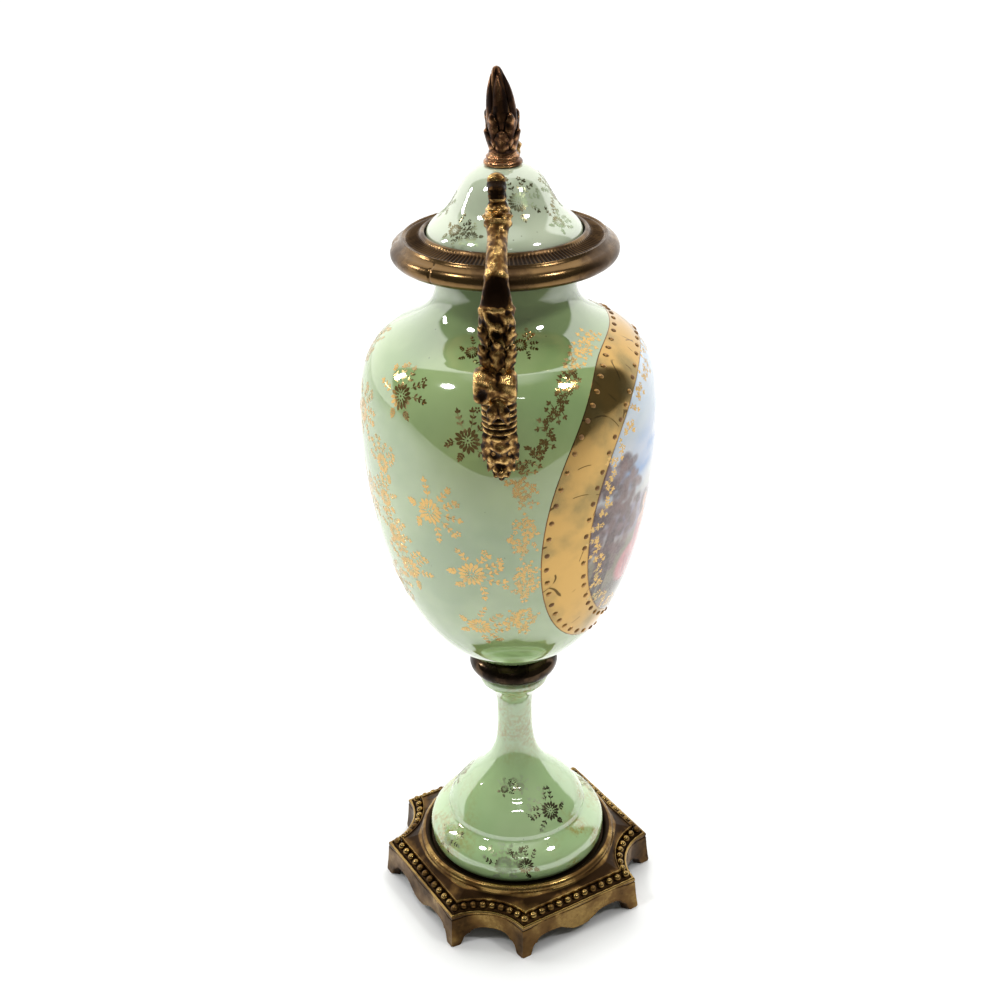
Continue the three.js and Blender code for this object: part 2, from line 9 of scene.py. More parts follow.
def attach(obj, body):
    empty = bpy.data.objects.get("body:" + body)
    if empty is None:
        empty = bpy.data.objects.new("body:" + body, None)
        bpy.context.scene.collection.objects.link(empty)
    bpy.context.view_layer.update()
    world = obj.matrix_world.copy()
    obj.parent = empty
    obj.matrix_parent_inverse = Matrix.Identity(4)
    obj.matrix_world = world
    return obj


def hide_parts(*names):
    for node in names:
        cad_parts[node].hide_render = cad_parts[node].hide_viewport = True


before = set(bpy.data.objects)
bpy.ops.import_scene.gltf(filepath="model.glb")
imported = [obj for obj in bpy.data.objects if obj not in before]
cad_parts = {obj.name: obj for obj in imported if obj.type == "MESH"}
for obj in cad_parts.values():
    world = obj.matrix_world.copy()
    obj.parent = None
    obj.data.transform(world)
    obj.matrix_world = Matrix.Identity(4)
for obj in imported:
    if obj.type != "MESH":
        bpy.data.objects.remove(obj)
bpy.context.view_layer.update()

# Studio. The urn stands on a white table top under a wide soft ceiling light. The room is pale
# behind it and low on its left, and dim in front of it, with small lamps and a long thin one.
TABLE_X, TABLE_Y = (-0.54, 3.4), (-3.0, 3.0)


def set_inputs(node, inputs):
    """Sets each input of a node to a number, a place or a solid colour, or links it to another
    node's output. Nodes and their sockets know the tree they are in as id_data."""
    for key, value in inputs.items():
        given = node.inputs[key]
        if isinstance(value, bpy.types.NodeSocket):
            node.id_data.links.new(value, given)
        else:
            given.default_value = (*value, 1) if given.type == "RGBA" else value


def new_node(tree, kind, inputs=None, **settings):
    """One shader node with its settings and inputs."""
    made = tree.nodes.new(kind)
    for key, value in settings.items():
        setattr(made, key, value)
    set_inputs(made, inputs or {})
    return made


def sums(kind, *values, clamp=False):
    """Result of one Math node, of which at least one value is another node's output."""
    tree = next(v.id_data for v in values if isinstance(v, bpy.types.NodeSocket))
    made = new_node(tree, "ShaderNodeMath", dict(enumerate(values)), operation=kind)
    made.use_clamp = clamp
    return made.outputs[0]


def blended(share, low, high):
    """Colour between two others."""
    inputs = {0: share, 6: low, 7: high}
    made = new_node(share.id_data, "ShaderNodeMix", inputs, data_type="RGBA")
    return made.outputs[2]


def ramped(value, low, high, first=0.0, last=1.0):
    """A value spread from one span to another with a soft start and end."""
    inputs = {0: value, 1: low, 2: high, 3: first, 4: last}
    smooth = {"interpolation_type": "SMOOTHSTEP"}
    return new_node(value.id_data, "ShaderNodeMapRange", inputs, **smooth).outputs[0]


def own_place(tree):
    """Places in the object's own coordinates."""
    return new_node(tree, "ShaderNodeTexCoord").outputs["Object"]


def noise(place, scale, detail=2.0):
    """Soft noise over the places, finer as the scale grows."""
    inputs = {"Vector": place, "Scale": scale, "Detail": detail}
    return new_node(place.id_data, "ShaderNodeTexNoise", inputs).outputs[0]


def new_material(name):
    """A material with its tree and its Principled shader."""
    made = bpy.data.materials.new(name)
    made.use_nodes = True
    return made, made.node_tree, made.node_tree.nodes["Principled BSDF"]


def put_mesh(name, points, faces, material):
    """Mesh object from an array of points and arrays of faces with equal corner counts."""
    mesh = bpy.data.meshes.new(name)
    counts = np.concatenate([np.full(len(f), f.shape[1]) for f in faces])
    corners = np.concatenate([f.ravel() for f in faces]).astype(np.int32)
    mesh.vertices.add(len(points))
    mesh.vertices.foreach_set("co", np.asarray(points, np.float32).ravel())
    mesh.loops.add(len(corners))
    mesh.loops.foreach_set("vertex_index", corners)
    mesh.polygons.add(len(counts))
    mesh.polygons.foreach_set("loop_start", (np.cumsum(counts) - counts).astype(np.int32))
    mesh.polygons.foreach_set("use_smooth", np.ones(len(counts), bool))
    mesh.update(calc_edges=True)
    mesh.validate()
    mesh.materials.append(material)
    made = bpy.data.objects.new(name, mesh)
    bpy.context.scene.collection.objects.link(made)
    return made


def table_material():
    """Matt white laminate, a little uneven in tone, greyer by painted shade at the near edge."""
    made, tree, shader = new_material("white_table")
    place = own_place(tree)
    tone = blended(noise(place, 3.0), (0.84, 0.845, 0.85), (0.89, 0.89, 0.89))
    # painted shade: the top grows greyer towards its near edge, standing for the shadow of the room
    # in front
    near = new_node(tree, "ShaderNodeSeparateXYZ", {0: place}).outputs[0]
    shade = ramped(near, TABLE_X[0], -0.11, 0.95, 0.0)
    tone = blended(shade, tone, (0.42, 0.42, 0.41))
    set_inputs(shader, {"Base Color": tone, "Roughness": 0.5})
    return made


table_corners = [(x, y, 0.0) for y in TABLE_Y for x in TABLE_X]
table = put_mesh("table_top", table_corners, [np.array([[0, 1, 3, 2]])], table_material())

camera = bpy.data.objects.new("camera", bpy.data.cameras.new("camera"))
camera_right = (0.04163, -0.99889, -0.02218)
camera_up = (0.45667, -0.00072, 0.88963)
camera_back = (-0.88866, -0.04717, 0.45614)
camera_turn = Matrix((camera_right, camera_up, camera_back)).transposed().to_4x4()
camera.matrix_world = Matrix.Translation((-0.56995, -0.02588, 0.49138)) @ camera_turn
camera.data.sensor_width, camera.data.lens = 36.0, 54.22
bpy.context.scene.collection.objects.link(camera)
bpy.context.scene.camera = camera
bpy.context.scene.view_settings.view_transform = "Standard"


def put_light(name, azimuth, elevation, distance, size, power, size_y=None, mirrored=True):
    """Area light on a sphere about the urn's middle, looking at it, mirrored in it or not."""
    a, e = np.radians([azimuth, elevation])
    away = np.array([np.cos(a) * np.cos(e), np.sin(a) * np.cos(e), np.sin(e)])
    light = bpy.data.lights.new(name, "AREA")
    light.energy, light.size, light.shape = power, size, "DISK"
    if size_y:
        light.shape, light.size_y = "RECTANGLE", size_y
    across = np.cross((0, 0, 1), away)
    across /= np.linalg.norm(across)
    turn = Matrix((across, np.cross(away, across), away)).transposed().to_4x4()
    made = bpy.data.objects.new(name, light)
    made.matrix_world = Matrix.Translation(away * distance + (0, 0, 0.2)) @ turn
    made.visible_glossy = mirrored
    bpy.context.scene.collection.objects.link(made)


put_light("ceiling", 0, 66, 3.0, 6.0, 105, mirrored=False)
put_light("lamp_left", 118, 51, 1.3, 0.17, 4.0)
put_light("lamp_right", 242, 50, 1.3, 0.17, 4.0)
put_light("lamp_strip", 184, 45, 1.5, 0.5, 0.4, size_y=0.008)
put_light("window_left", 78, 28, 1.4, 0.12, 3.0, size_y=0.3)

world = bpy.data.worlds.new("room")
world.use_nodes = True
bpy.context.scene.world = world
room = world.node_tree
outward = new_node(room, "ShaderNodeTexCoord").outputs["Generated"]
way = new_node(room, "ShaderNodeSeparateXYZ", {0: outward})
level = sums("SQRT", sums("SUBTRACT", 1.0, sums("POWER", way.outputs[2], 2.0)))
low = sums("MULTIPLY_ADD", way.outputs[2], -2.2, 1.0, clamp=True)
left = sums("MAXIMUM", way.outputs[1], 0.0)
aside = sums("MULTIPLY", left, sums("MULTIPLY", low, 0.42))
ahead = sums("ADD", way.outputs[0], aside)
ahead = sums("DIVIDE", ahead, sums("MAXIMUM", level, 0.01))
wall = ramped(ahead, 0.37, 0.47)
lit = sums("MAXIMUM", wall, ramped(way.outputs[2], 0.9, 1.0, 0.0, 0.5))
room_tone = blended(lit, (0.12, 0.125, 0.11), (1.45, 1.45, 1.42))
seen = new_node(room, "ShaderNodeLightPath").outputs["Is Camera Ray"]
backdrop = blended(seen, room_tone, (0.97, 0.97, 0.97))
set_inputs(room.nodes["Background"], {"Color": backdrop})

# Cast base: eight-cornered, with four straight sides, scooped corners, a beaded moulding and
# a raised ring for the porcelain foot. Thick cast brass, gilt, worn and brown with age.
BASE_HALF = 0.0538
BASE_SIDE = 0.0306
BASE_SCOOP = 0.0064
BASE_TURN = np.radians(33.6)
BASE_FLARE = 0.0012
RIDGE_Z = 0.0167
RING_RADIUS, RING_TUBE, RING_Z = 0.0435, 0.0023, 0.0229
PLATE_Z, PLATE_BORE, BASE_WALL = 0.023, 0.02, 0.003
BEVEL, LIP = 0.0003, 0.0007
BEAD_RADIUS, BEAD_INSET, BEAD_Z = 0.00172, 0.0034, 0.01775
SCOOP_HALF = (BASE_HALF - BASE_SIDE) / 2**0.5
SCOOP_RADIUS = (SCOOP_HALF**2 + BASE_SCOOP**2) / (2 * BASE_SCOOP)
SCOOP_CENTRE = (BASE_HALF + BASE_SIDE) / 2 + (SCOOP_RADIUS - BASE_SCOOP) / 2**0.5


def shared_patina_and_shade():
    """Shader group for aged metal: a mask of bright metal, lost to blotches and, in the hollows, to
    patina and painted shade.
    """
    group = bpy.data.node_groups.new("patina_and_shade", "ShaderNodeTree")
    for name in ("Scale", "Blotches", "Hollow", "Depth"):
        group.interface.new_socket(name, in_out="INPUT", socket_type="NodeSocketFloat")
    for name in ("Bright", "Grain"):
        group.interface.new_socket(name, in_out="OUTPUT", socket_type="NodeSocketFloat")
    scale, blotches, hollow, depth, _ = new_node(group, "NodeGroupInput").outputs
    place = own_place(group)
    fine = noise(place, sums("MULTIPLY", scale, 9.0), 4.0)
    spread = ramped(noise(place, scale, 6.0), 0.36, 0.66)
    lost = sums("MULTIPLY", spread, blotches)
    # patina and painted shade: the hollow attribute, times the depth, darkens the recesses
    hollow = sums("MULTIPLY", hollow, depth)
    stain = sums("MULTIPLY", fine, 0.35)
    bright = sums("SUBTRACT", sums("SUBTRACT", 1.15, lost), hollow)
    bright = sums("SUBTRACT", bright, stain, clamp=True)
    end = new_node(group, "NodeGroupOutput", {0: bright, 1: fine})
    end.is_active_output = True
    return group


patina_and_shade = shared_patina_and_shade()


def add_relief(shader, height, strength, distance):
    """Gives a shader fine relief by a height over the surface."""
    inputs = {"Height": height, "Strength": strength, "Distance": distance}
    bump = new_node(shader.id_data, "ShaderNodeBump", inputs)
    set_inputs(shader, {"Normal": bump.outputs[0]})


def aged_shaded_metal(name, dark, middle, bright, scale, blotches, depth, rough, bump=0.12):
    """Cast metal between three tones, by the mask of patina and painted shade, which reads the
    piece's own hollow attribute.
    """
    made, tree, shader = new_material(name)
    hollow = new_node(tree, "ShaderNodeAttribute", attribute_name="hollow").outputs["Fac"]
    aged_and_shaded = new_node(tree, "ShaderNodeGroup", node_tree=patina_and_shade)
    set_inputs(aged_and_shaded, {"Scale": scale, "Blotches": blotches, "Hollow": hollow, "Depth": depth})
    mask = aged_and_shaded.outputs["Bright"]
    low = blended(ramped(mask, 0.0, 0.5), dark, middle)
    tone = blended(ramped(mask, 0.45, 1.0), low, bright)
    wear = ramped(mask, 0.0, 1.0, rough + 0.28, rough)
    set_inputs(shader, {"Base Color": tone, "Roughness": wear, "Metallic": 1.0})
    add_relief(shader, aged_and_shaded.outputs["Grain"], bump, 0.0004)
    return made


def steps_round(count):
    """Angles of even steps once round."""
    return np.arange(count) * 2 * np.pi / count


def rounded(r, t, z):
    """Points at a radius, an angle and a height: x = r cos t, y = r sin t."""
    return np.stack([r * np.cos(t), r * np.sin(t), z + 0 * t], -1)


def grid_faces(rows, columns, close_rows=False):
    """Four-cornered faces of a grid whose rows run round and close on themselves."""
    r = np.arange(rows if close_rows else rows - 1)[:, None]
    c = np.arange(columns)[None]
    a, b = r * columns + c, r * columns + (c + 1) % columns
    up = ((r + 1) % rows) * columns
    return np.stack([a, b, up + (c + 1) % columns, up + c], -1).reshape(-1, 4)


def closed_skin(rings, start, end):
    """Points and faces of a skin over rings of equal count, closed at a point at each end."""
    rows, columns = rings.shape[:2]
    points = np.concatenate([rings.reshape(-1, 3), [start, end]])
    k, first, last = np.arange(columns), rows * columns, (rows - 1) * columns
    low = np.stack([np.full(columns, first), (k + 1) % columns, k], -1)
    high = np.stack([np.full(columns, first + 1), last + k, last + (k + 1) % columns], -1)
    return points, grid_faces(rows, columns), np.concatenate([low, high])


def ball(centre, radii, rows=10, sides=16):
    """An oval ball about a centre: rings at the sine and cosine of even angles, stretched."""
    u = np.linspace(0, np.pi, rows + 2)[1:-1, None]
    v = steps_round(sides)[None]
    rings = rounded(np.sin(u), v, -np.cos(u)) * np.asarray(radii) + centre
    tip = np.array([0, 0, radii[2]])
    return closed_skin(rings, centre - tip, centre + tip)


def repeated(faces, copies, size):
    """Faces of copies of one mesh, whose points follow one another."""
    shift = np.arange(copies)[:, None, None] * size
    return [(f + shift).reshape(-1, f.shape[1]) for f in faces]


def finish_piece(piece, node=None, hollow=None, sharp=None):
    """Rides with the urn and stands for its solid. Hollow says how deep each point lies in the
    relief, from 0 on top to 1 in the hollows, and edges that turn by more than the sharp
    angle, in degrees, stay crisp."""
    if sharp:
        piece.data.set_sharp_from_angle(angle=np.radians(sharp))
    if hollow is not None:
        # The aged metals darken by this attribute as patina and painted shade in the recesses; the
        # gold band draws its edge lines by it.
        layer = piece.data.attributes.new("hollow", "FLOAT", "POINT")
        layer.data.foreach_set("value", np.asarray(hollow, np.float32).ravel())
    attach(piece, "root")
    if node:
        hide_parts(node)


def base_outline(inset, side_share, scoop_share):
    """Points round the base, drawn in by an inset. Shares from -1 to 1 run along each straight
    side, and then round each scooped corner, which is a circle about a centre outside it."""
    inset = np.asarray(inset, float)[..., None]
    across = SCOOP_CENTRE - BASE_HALF + inset
    radius = SCOOP_RADIUS + inset
    drop = np.sqrt(radius**2 - across**2)
    middle = -0.75 * np.pi
    t = middle + scoop_share * (middle - np.arctan2(-drop, -across))
    arc = np.stack([np.cos(t), np.sin(t)], -1) * radius[..., None] + SCOOP_CENTRE
    y = (SCOOP_CENTRE - drop) * side_share
    side = np.stack([np.broadcast_to(BASE_HALF - inset, y.shape), y], -1)
    quarter = np.concatenate([side, arc], -2)
    turns = BASE_TURN + np.arange(4) * np.pi / 2
    spun = [quarter @ np.array([[np.cos(a), np.sin(a)], [-np.sin(a), np.cos(a)]]) for a in turns]
    return np.concatenate(spun, -2)


def both_ways(arch):
    """Shares and heights of an arch, from its far end to the middle and on to the near end."""
    return np.concatenate([arch[:-1] * (-1, 1), arch[:0:-1]])


def raised(flat, z):
    """Points in the plane lifted to heights, given for each row or for each point."""
    return np.concatenate([flat, np.broadcast_to(z, flat.shape[:2])[..., None]], -1)


def cast_base():
    """Rows of the base's section, from the edge of the cut-outs up the skirt, over the ridge and
    the bead channel, in to the round ring and plate, and back down inside, each carried round
    the outline. Below the skirt the rows start at the height of the bracket feet's arches."""
    side_arch = both_ways(np.array([
        (1.0, 0.8), (0.985, 0.15), (0.965, 0), (0.865, 0), (0.85, 0.4), (0.84, 1.8), (0.825, 3.4),
        (0.8, 4.7), (0.78, 5.2), (0.755, 5.3), (0.745, 6.1), (0.72, 7.1), (0.68, 7.8), (0.6, 8.2),
        (0.5, 8.3), (0.4, 8.1), (0.33, 7.6), (0.28, 6.8), (0.25, 6.0), (0.22, 5.9), (0.2, 5.2),
        (0.17, 4.9), (0.14, 4.2), (0.08, 3.8), (0, 3.7),
    ]))
    scoop_arch = both_ways(np.array([
        (1.0, 0.8), (0.97, 0.15), (0.945, 0), (0.78, 0), (0.75, 0.4), (0.72, 1.9), (0.68, 3.6),
        (0.62, 4.8), (0.57, 5.2), (0.53, 5.3), (0.5, 6.3), (0.42, 7.3), (0.3, 7.9), (0.15, 8.1),
        (0, 8.1),
    ]))
    side, scoop = side_arch[:, 0], scoop_arch[:, 0]
    edge = np.tile(np.concatenate([side_arch[:, 1], scoop_arch[:, 1]]), 4) / 1000
    rise = np.array([0, 0.12, 0.3, 0.5, 0.7, 0.82, 0.87, 0.9, 0.93, 1])[:, None]
    outer_z = edge + (RIDGE_Z - LIP - edge) * rise
    inner_z = outer_z[::-1] - BASE_WALL * rise[::-1]
    incised = np.where(rise[:, 0] == 0.9, 0.00028, 0)

    def skirt(z, wall):
        """Each point takes the outline at its own inset, so the lean follows the arches."""
        near = base_outline(wall, side, scoop)
        far = base_outline(wall - BASE_FLARE, side, scoop)
        share = np.clip(1 - z / RIDGE_Z, 0, 1) ** 1.6
        return raised(near + (far - near) * share[..., None], z)

    over = np.array([
        (0.00008, 0.0163), (0.00035, 0.01668), (0.00075, 0.01675), (0.00115, 0.01655),
        (0.00135, 0.01615), (0.0016, 0.01605), (0.0018, 0.0164), (0.0024, 0.0168), (0.0034, 0.017),
        (0.0045, 0.0174), (0.00505, 0.018), (0.0051, 0.0196), (0.00522, 0.01995), (0.0054, 0.02),
        (0.00558, 0.01985), (0.0057, 0.0195),
    ])
    band = raised(base_outline(over[:, 0], side, scoop), over[:, 1:])
    t = np.linspace(0.15, 1, 7)[:, None]
    last = band[-1, :, :2]
    away = np.arctan2(last[:, 1], last[:, 0])
    ray = np.stack([np.cos(away), np.sin(away)], -1)
    slope = last + (ray * (RING_RADIUS + RING_TUBE) - last) * t[..., None]
    slope = raised(slope, over[-1, 1] + (RING_Z - LIP - over[-1, 1]) * t**1.5)
    a = np.radians(np.linspace(0, 180, 15))
    ring = np.stack([RING_RADIUS + RING_TUBE * np.cos(a), RING_Z + RING_TUBE * np.sin(a)], -1)
    inner = np.array([
        (RING_RADIUS - RING_TUBE, PLATE_Z + BEVEL), (RING_RADIUS - RING_TUBE - BEVEL, PLATE_Z),
        (PLATE_BORE + BEVEL, PLATE_Z), (PLATE_BORE, PLATE_Z - BEVEL),
        (PLATE_BORE, PLATE_Z - BASE_WALL + BEVEL), (PLATE_BORE + BEVEL, PLATE_Z - BASE_WALL),
        (RING_RADIUS - BASE_WALL, PLATE_Z - BASE_WALL),
    ])
    rounds = np.concatenate([ring, inner])
    disc = raised(rounds[:, :1, None] * ray, rounds[:, 1:])
    inside = skirt(inner_z, np.full(len(inner_z), BASE_WALL))
    rows = np.concatenate([skirt(outer_z, incised), band, slope, disc, inside])
    faces = grid_faces(*rows.shape[:2], close_rows=True)
    brass = aged_shaded_metal(
        "old_gilt_brass", (0.03, 0.015, 0.006), (0.135, 0.072, 0.023), (0.37, 0.24, 0.08),
        60.0, 0.6, 1.05, 0.22,
    )
    # Patina and painted shade: these depths darken the skirt a little, the incised line, the bead
    # channel, the slope down to the ring, and the ring's inner side, the plate and the inside,
    # where shade falls.
    depth = np.zeros(rows.shape[:2])
    first = len(outer_z)
    depth[:first] = 0.2
    depth[7] = 0.9  # the incised line on the skirt
    depth[first : first + 3] = -0.3  # the ridge, worn bright
    depth[first + 4 : first + 11] = 0.8  # the channel that holds the beads
    depth[first + 14 : first + 21] = np.linspace(0.35, 0.75, 7)[:, None]  # down the slope
    depth[first + 30 :] = 0.85  # the ring's inner side, the plate and the inside
    base = put_mesh("cast_base", rows.reshape(-1, 3), [faces], brass)
    finish_piece(base, "base", depth, sharp=38)
    return brass


def bead_row(brass):
    """Round beads, evenly spaced along the outline with one at each corner."""
    middles = base_outline(BEAD_INSET, np.linspace(-1, 1, 13)[:-1], np.linspace(-1, 1, 9)[:-1])
    middles = middles.reshape(-1, 2)
    centres = np.concatenate([middles, np.full((len(middles), 1), BEAD_Z)], 1)
    bead, *faces = ball(np.zeros(3), np.full(3, BEAD_RADIUS), 8, 14)
    points = (centres[:, None] + bead).reshape(-1, 3)
    beads = put_mesh("base_beads", points, repeated(faces, len(centres), len(bead)), brass)
    # Painted shade: each bead is darker over its lower half, where it turns away from the light.
    depth = np.tile(np.clip(0.25 - bead[:, 2] / BEAD_RADIUS, 0, 1), len(centres))
    finish_piece(beads, hollow=depth)


bead_row(cast_base())

# Porcelain foot: a stepped bell, open below, that rises to a slender stem. It stands on the
# plate inside the base's ring, and carries the same glaze as the body and the lid.
TURN_SIDES = 192


def sweep(*corners, count=24):
    """Cubic curve in the (radius, height) plane between two points, in millimetres, pulled
    towards two more."""
    t = np.linspace(0, 1, count)[:, None]
    a, b, c, d = np.array(corners, float)
    return (1 - t) ** 3 * a + 3 * (1 - t) ** 2 * t * b + 3 * (1 - t) * t**2 * c + t**3 * d


def eased(corners, radius, count=5):
    """Polyline whose inner corners are rounded: each is the quadratic curve between the two
    points a radius away from it along its sides."""
    p = np.array(corners, float)
    legs = p[1:] - p[:-1]
    length = np.linalg.norm(legs, axis=1, keepdims=True)
    cut = np.minimum(radius, length * 0.45)
    before = p[1:-1] - legs[:-1] / length[:-1] * np.minimum(cut[:-1], cut[1:])
    after = p[1:-1] + legs[1:] / length[1:] * np.minimum(cut[:-1], cut[1:])
    t = np.linspace(0, 1, count)[None, :, None]
    arcs = (1 - t) ** 2 * before[:, None] + 2 * (1 - t) * t * p[1:-1, None] + t**2 * after[:, None]
    return np.concatenate([p[:1], arcs.reshape(-1, 2), p[-1:]])


def turned(profile, sides=TURN_SIDES, relief=None):
    """Points and faces of a profile of (radius, height) in millimetres, carried round the
    upright axis. A profile that starts and ends on the axis closes there in a point, and any
    other closes on itself. Relief adds to radius and height."""
    p = np.asarray(profile, float) / 1000
    capped = p[0, 0] < 1e-7
    body = p[1:-1] if capped else p
    t = steps_round(sides)
    r, z = np.repeat(body[:, :1], sides, 1), np.repeat(body[:, 1:], sides, 1)
    if relief:
        dr, dz = relief(r * 1000, z * 1000, t)
        r, z = r + dr / 1000, z + dz / 1000
    rings = rounded(r, t, z)
    if capped:
        points, *faces = closed_skin(rings, [0, 0, p[0, 1]], [0, 0, p[-1, 1]])
        return points, faces
    return rings.reshape(-1, 3), [grid_faces(len(body), sides, close_rows=True)]


def lustre_glaze(name, pale, deep, worn=False):
    """Pale green lustre between two tones: cloudy, with tiny dark specks and a mirror-like
    surface. Where worn, brown gilding is left as rubs on the stem and on two sides."""
    made, tree, shader = new_material(name)
    place = own_place(tree)
    tone = blended(ramped(noise(place, 26.0, 3.0), 0.35, 0.68), deep, pale)
    tint = ramped(noise(place, 9.0), 0.48, 0.75, 0.0, 0.5)
    tone = blended(tint, tone, (0.52, 0.6, 0.2))
    spots = new_node(tree, "ShaderNodeTexVoronoi", {"Vector": place, "Scale": 230.0})
    speck = ramped(spots.outputs["Distance"], 0.05, 0.1, 1.0, 0.0)
    few = ramped(noise(place, 60.0), 0.56, 0.64, 0.0, 0.6)
    tone = blended(sums("MULTIPLY", speck, few), tone, (0.07, 0.08, 0.04))
    if worn:
        way = new_node(tree, "ShaderNodeSeparateXYZ", {0: place})
        out = sums("ABSOLUTE", sums("MULTIPLY", way.outputs[1], 30.0))
        low = ramped(way.outputs[2], 0.03, 0.075, 1.0, 0.35)
        side = sums("MULTIPLY", ramped(out, 0.35, 0.95), low)
        side = sums("MAXIMUM", side, ramped(way.outputs[2], 0.064, 0.08, 0.0, 0.8))
        patch = ramped(noise(place, 70.0, 3.0), 0.42, 0.62)
        grain = ramped(noise(place, 620.0, 3.0), 0.28, 0.68)
        rub = sums("MULTIPLY", grain, sums("MULTIPLY", patch, side))
        tone = blended(rub, tone, (0.33, 0.26, 0.05))
    smear = ramped(noise(place, 55.0, 5.0), 0.4, 0.8, 0.03, 0.09)
    set_inputs(shader, {"Base Color": tone, "Roughness": smear, "IOR": 2.35})
    set_inputs(shader, {"Coat Weight": 0.5, "Coat Roughness": 0.02})
    add_relief(shader, noise(place, 34.0), 0.1, 0.0006)
    return made


foot_glaze = lustre_glaze("green_lustre_worn", (0.46, 0.62, 0.31), (0.37, 0.54, 0.25), True)
foot_step = eased([(35.6, 38.35), (32.4, 39.9), (31.75, 40.6), (31.5, 42.8), (31.2, 43.3)], 0.8)
foot_outer = np.concatenate([
    eased([(35.3, 23.3), (39.3, 23.3), (40.3, 25.6), (40.7, 29.5)], 1.2)[:-1],
    sweep((40.7, 29.5), (40.8, 34.68), (36.5, 37.53), (32.4, 39.9))[:-5],
    foot_step[1:-1],
    sweep((31.2, 43.3), (28.25, 49.55), (24.77, 52.0), (20.8, 56.4)),
    sweep((20.8, 56.4), (9.66, 66.52), (7.89, 73.75), (7.85, 89.5), count=30)[1:],
    sweep((7.85, 89.5), (7.86, 102.16), (8.65, 102.54), (15.2, 110.0))[1:],
    eased([(15.2, 110.0), (15.7, 112.6), (14.8, 114.4), (0, 114.4)], 0.8)[1:],
])
foot_inner = [
    (0, 69), (5, 66.5), (11.6, 61.2), (17.5, 53.6), (24, 46.6), (27.6, 41.8), (28.6, 38.6),
    (34.5, 34.5), (36.2, 29.8), (35.3, 23.3),
]
foot_profile = np.concatenate([foot_inner, foot_outer[1:]])
foot = put_mesh("foot", *turned(foot_profile), foot_glaze)
finish_piece(foot, "foot", sharp=60)

# Knop: a thick turned brass ring between foot and body, nearly black with age and handling.
# It rests on the stem's flat top, and the body stands on it.
KNOP_RADIUS, KNOP_Z, KNOP_ROUND = 14.8, 119.5, 4.8
knop_arc = np.radians(np.linspace(-90, 90, 33))
knop_r = KNOP_RADIUS + KNOP_ROUND * np.cos(knop_arc)
knop_z = KNOP_Z + KNOP_ROUND * np.sin(knop_arc)
knop_profile = [(0, 114.7), *zip(knop_r, knop_z), (0, 124.3)]
knop_metal = aged_shaded_metal(
    "dark_knop_brass", (0.01, 0.007, 0.005), (0.028, 0.018, 0.012), (0.075, 0.048, 0.028),
    120.0, 0.8, 0.0, 0.13, bump=0.04,
)
knop = put_mesh("knop", *turned(knop_profile), knop_metal)
finish_piece(knop, "knop")

# Body: an egg-shaped porcelain vase with a short neck under the collar. It is hollow and open
# at the neck, and its green glaze is fired with a metallic lustre.
body_outer = np.concatenate([
    sweep((12.5, 124.6), (49.99, 138.29), (60.43, 196.96), (61, 239), count=64),
    sweep((61, 239), (60.98, 254.23), (59.81, 270.93), (45.5, 277.4), count=36)[1:],
    sweep((45.5, 277.4), (36.11, 282.58), (28.2, 286.73), (28.2, 297), count=26)[1:],
    [(28.2, 311.6), (27.8, 312.0)],
])
body_inner = [
    (24.6, 312.0), (24.2, 311.6), (24.2, 297), (25.8, 290), (31, 284.5), (40, 278), (48, 270.5),
    (54, 262), (56.6, 250), (57, 239), (56.2, 222), (54, 200), (51.5, 185), (47, 169), (41, 154),
    (33, 143), (22, 134), (10, 129.8), (0, 129.4),
]
glaze = lustre_glaze("green_lustre", (0.39, 0.53, 0.225), (0.28, 0.42, 0.16))
body = put_mesh("body", *turned(np.concatenate([[(0, 124.6)], body_outer, body_inner])), glaze)
finish_piece(body, "body")

# Collar: a spun brass rim with a sleeve in the neck, a ledge for the lid, a band of fine
# radial ribs, a thin ridge and a rolled edge. Bronzed brown, worn bright along the roll.
RIBS, RIB_DEPTH = 144, 0.42
COLLAR_SIDES = RIBS * 6


def collar_relief(r, z, t):
    """Ribs on the sloping band: height falls by a rounded groove between each two ribs. The
    roll has a dent on the left and a narrow notch, each a smooth hollow about its angle."""
    on_band = np.clip((r - 33.2) / 0.6, 0, 1) * np.clip((38.9 - r) / 0.6, 0, 1) * (z > 314)
    groove = 0.5 - 0.5 * np.cos(RIBS * t)
    on_roll = np.clip((r - 40) / 1.5, 0, 1) * (z < 314.2)
    dent = 1.1 * np.exp(-(((t - 1.6) / 0.055) ** 2)) * np.exp(-(((z - 311.5) / 2.2) ** 2))
    notch = 0.4 * np.exp(-(((t - 2.5) / 0.01) ** 2))
    return -on_roll * (dent + notch), -RIB_DEPTH * on_band * groove**0.6


ROLL_RADIUS, ROLL_Z, ROLL_ROUND = 41.3, 310.2, 3.8
roll = np.radians(np.linspace(-90, 78, 19))
roll_r, roll_z = ROLL_RADIUS + ROLL_ROUND * np.cos(roll), ROLL_Z + ROLL_ROUND * np.sin(roll)
collar_edges = np.array([(28.6, 312.3), (28.6, 304.3), (30.2, 304.3), (30.2, 306.4), (40, 306.4)])
collar_top = np.array([
    (41.3, 314.6), (40.6, 315.0), (40.45, 315.7), (40.2, 315.95), (39.7, 315.85), (39.4, 315.45),
    (38.9, 315.5), (38.3, 315.62), (37.2, 315.85), (36, 316.15), (34.8, 316.5), (33.8, 316.85),
    (33.2, 317.3), (32.9, 317.9), (32.5, 318.2), (31.7, 318.2), (31.35, 317.9), (31.3, 317.4),
    (31.3, 314.6), (31.0, 314.3), (25.8, 314.3), (25.5, 314.0), (25.5, 312.6), (25.8, 312.3),
])
collar_profile = np.concatenate([
    eased(collar_edges, 0.4, 3), np.stack([roll_r, roll_z], -1), collar_top,
])
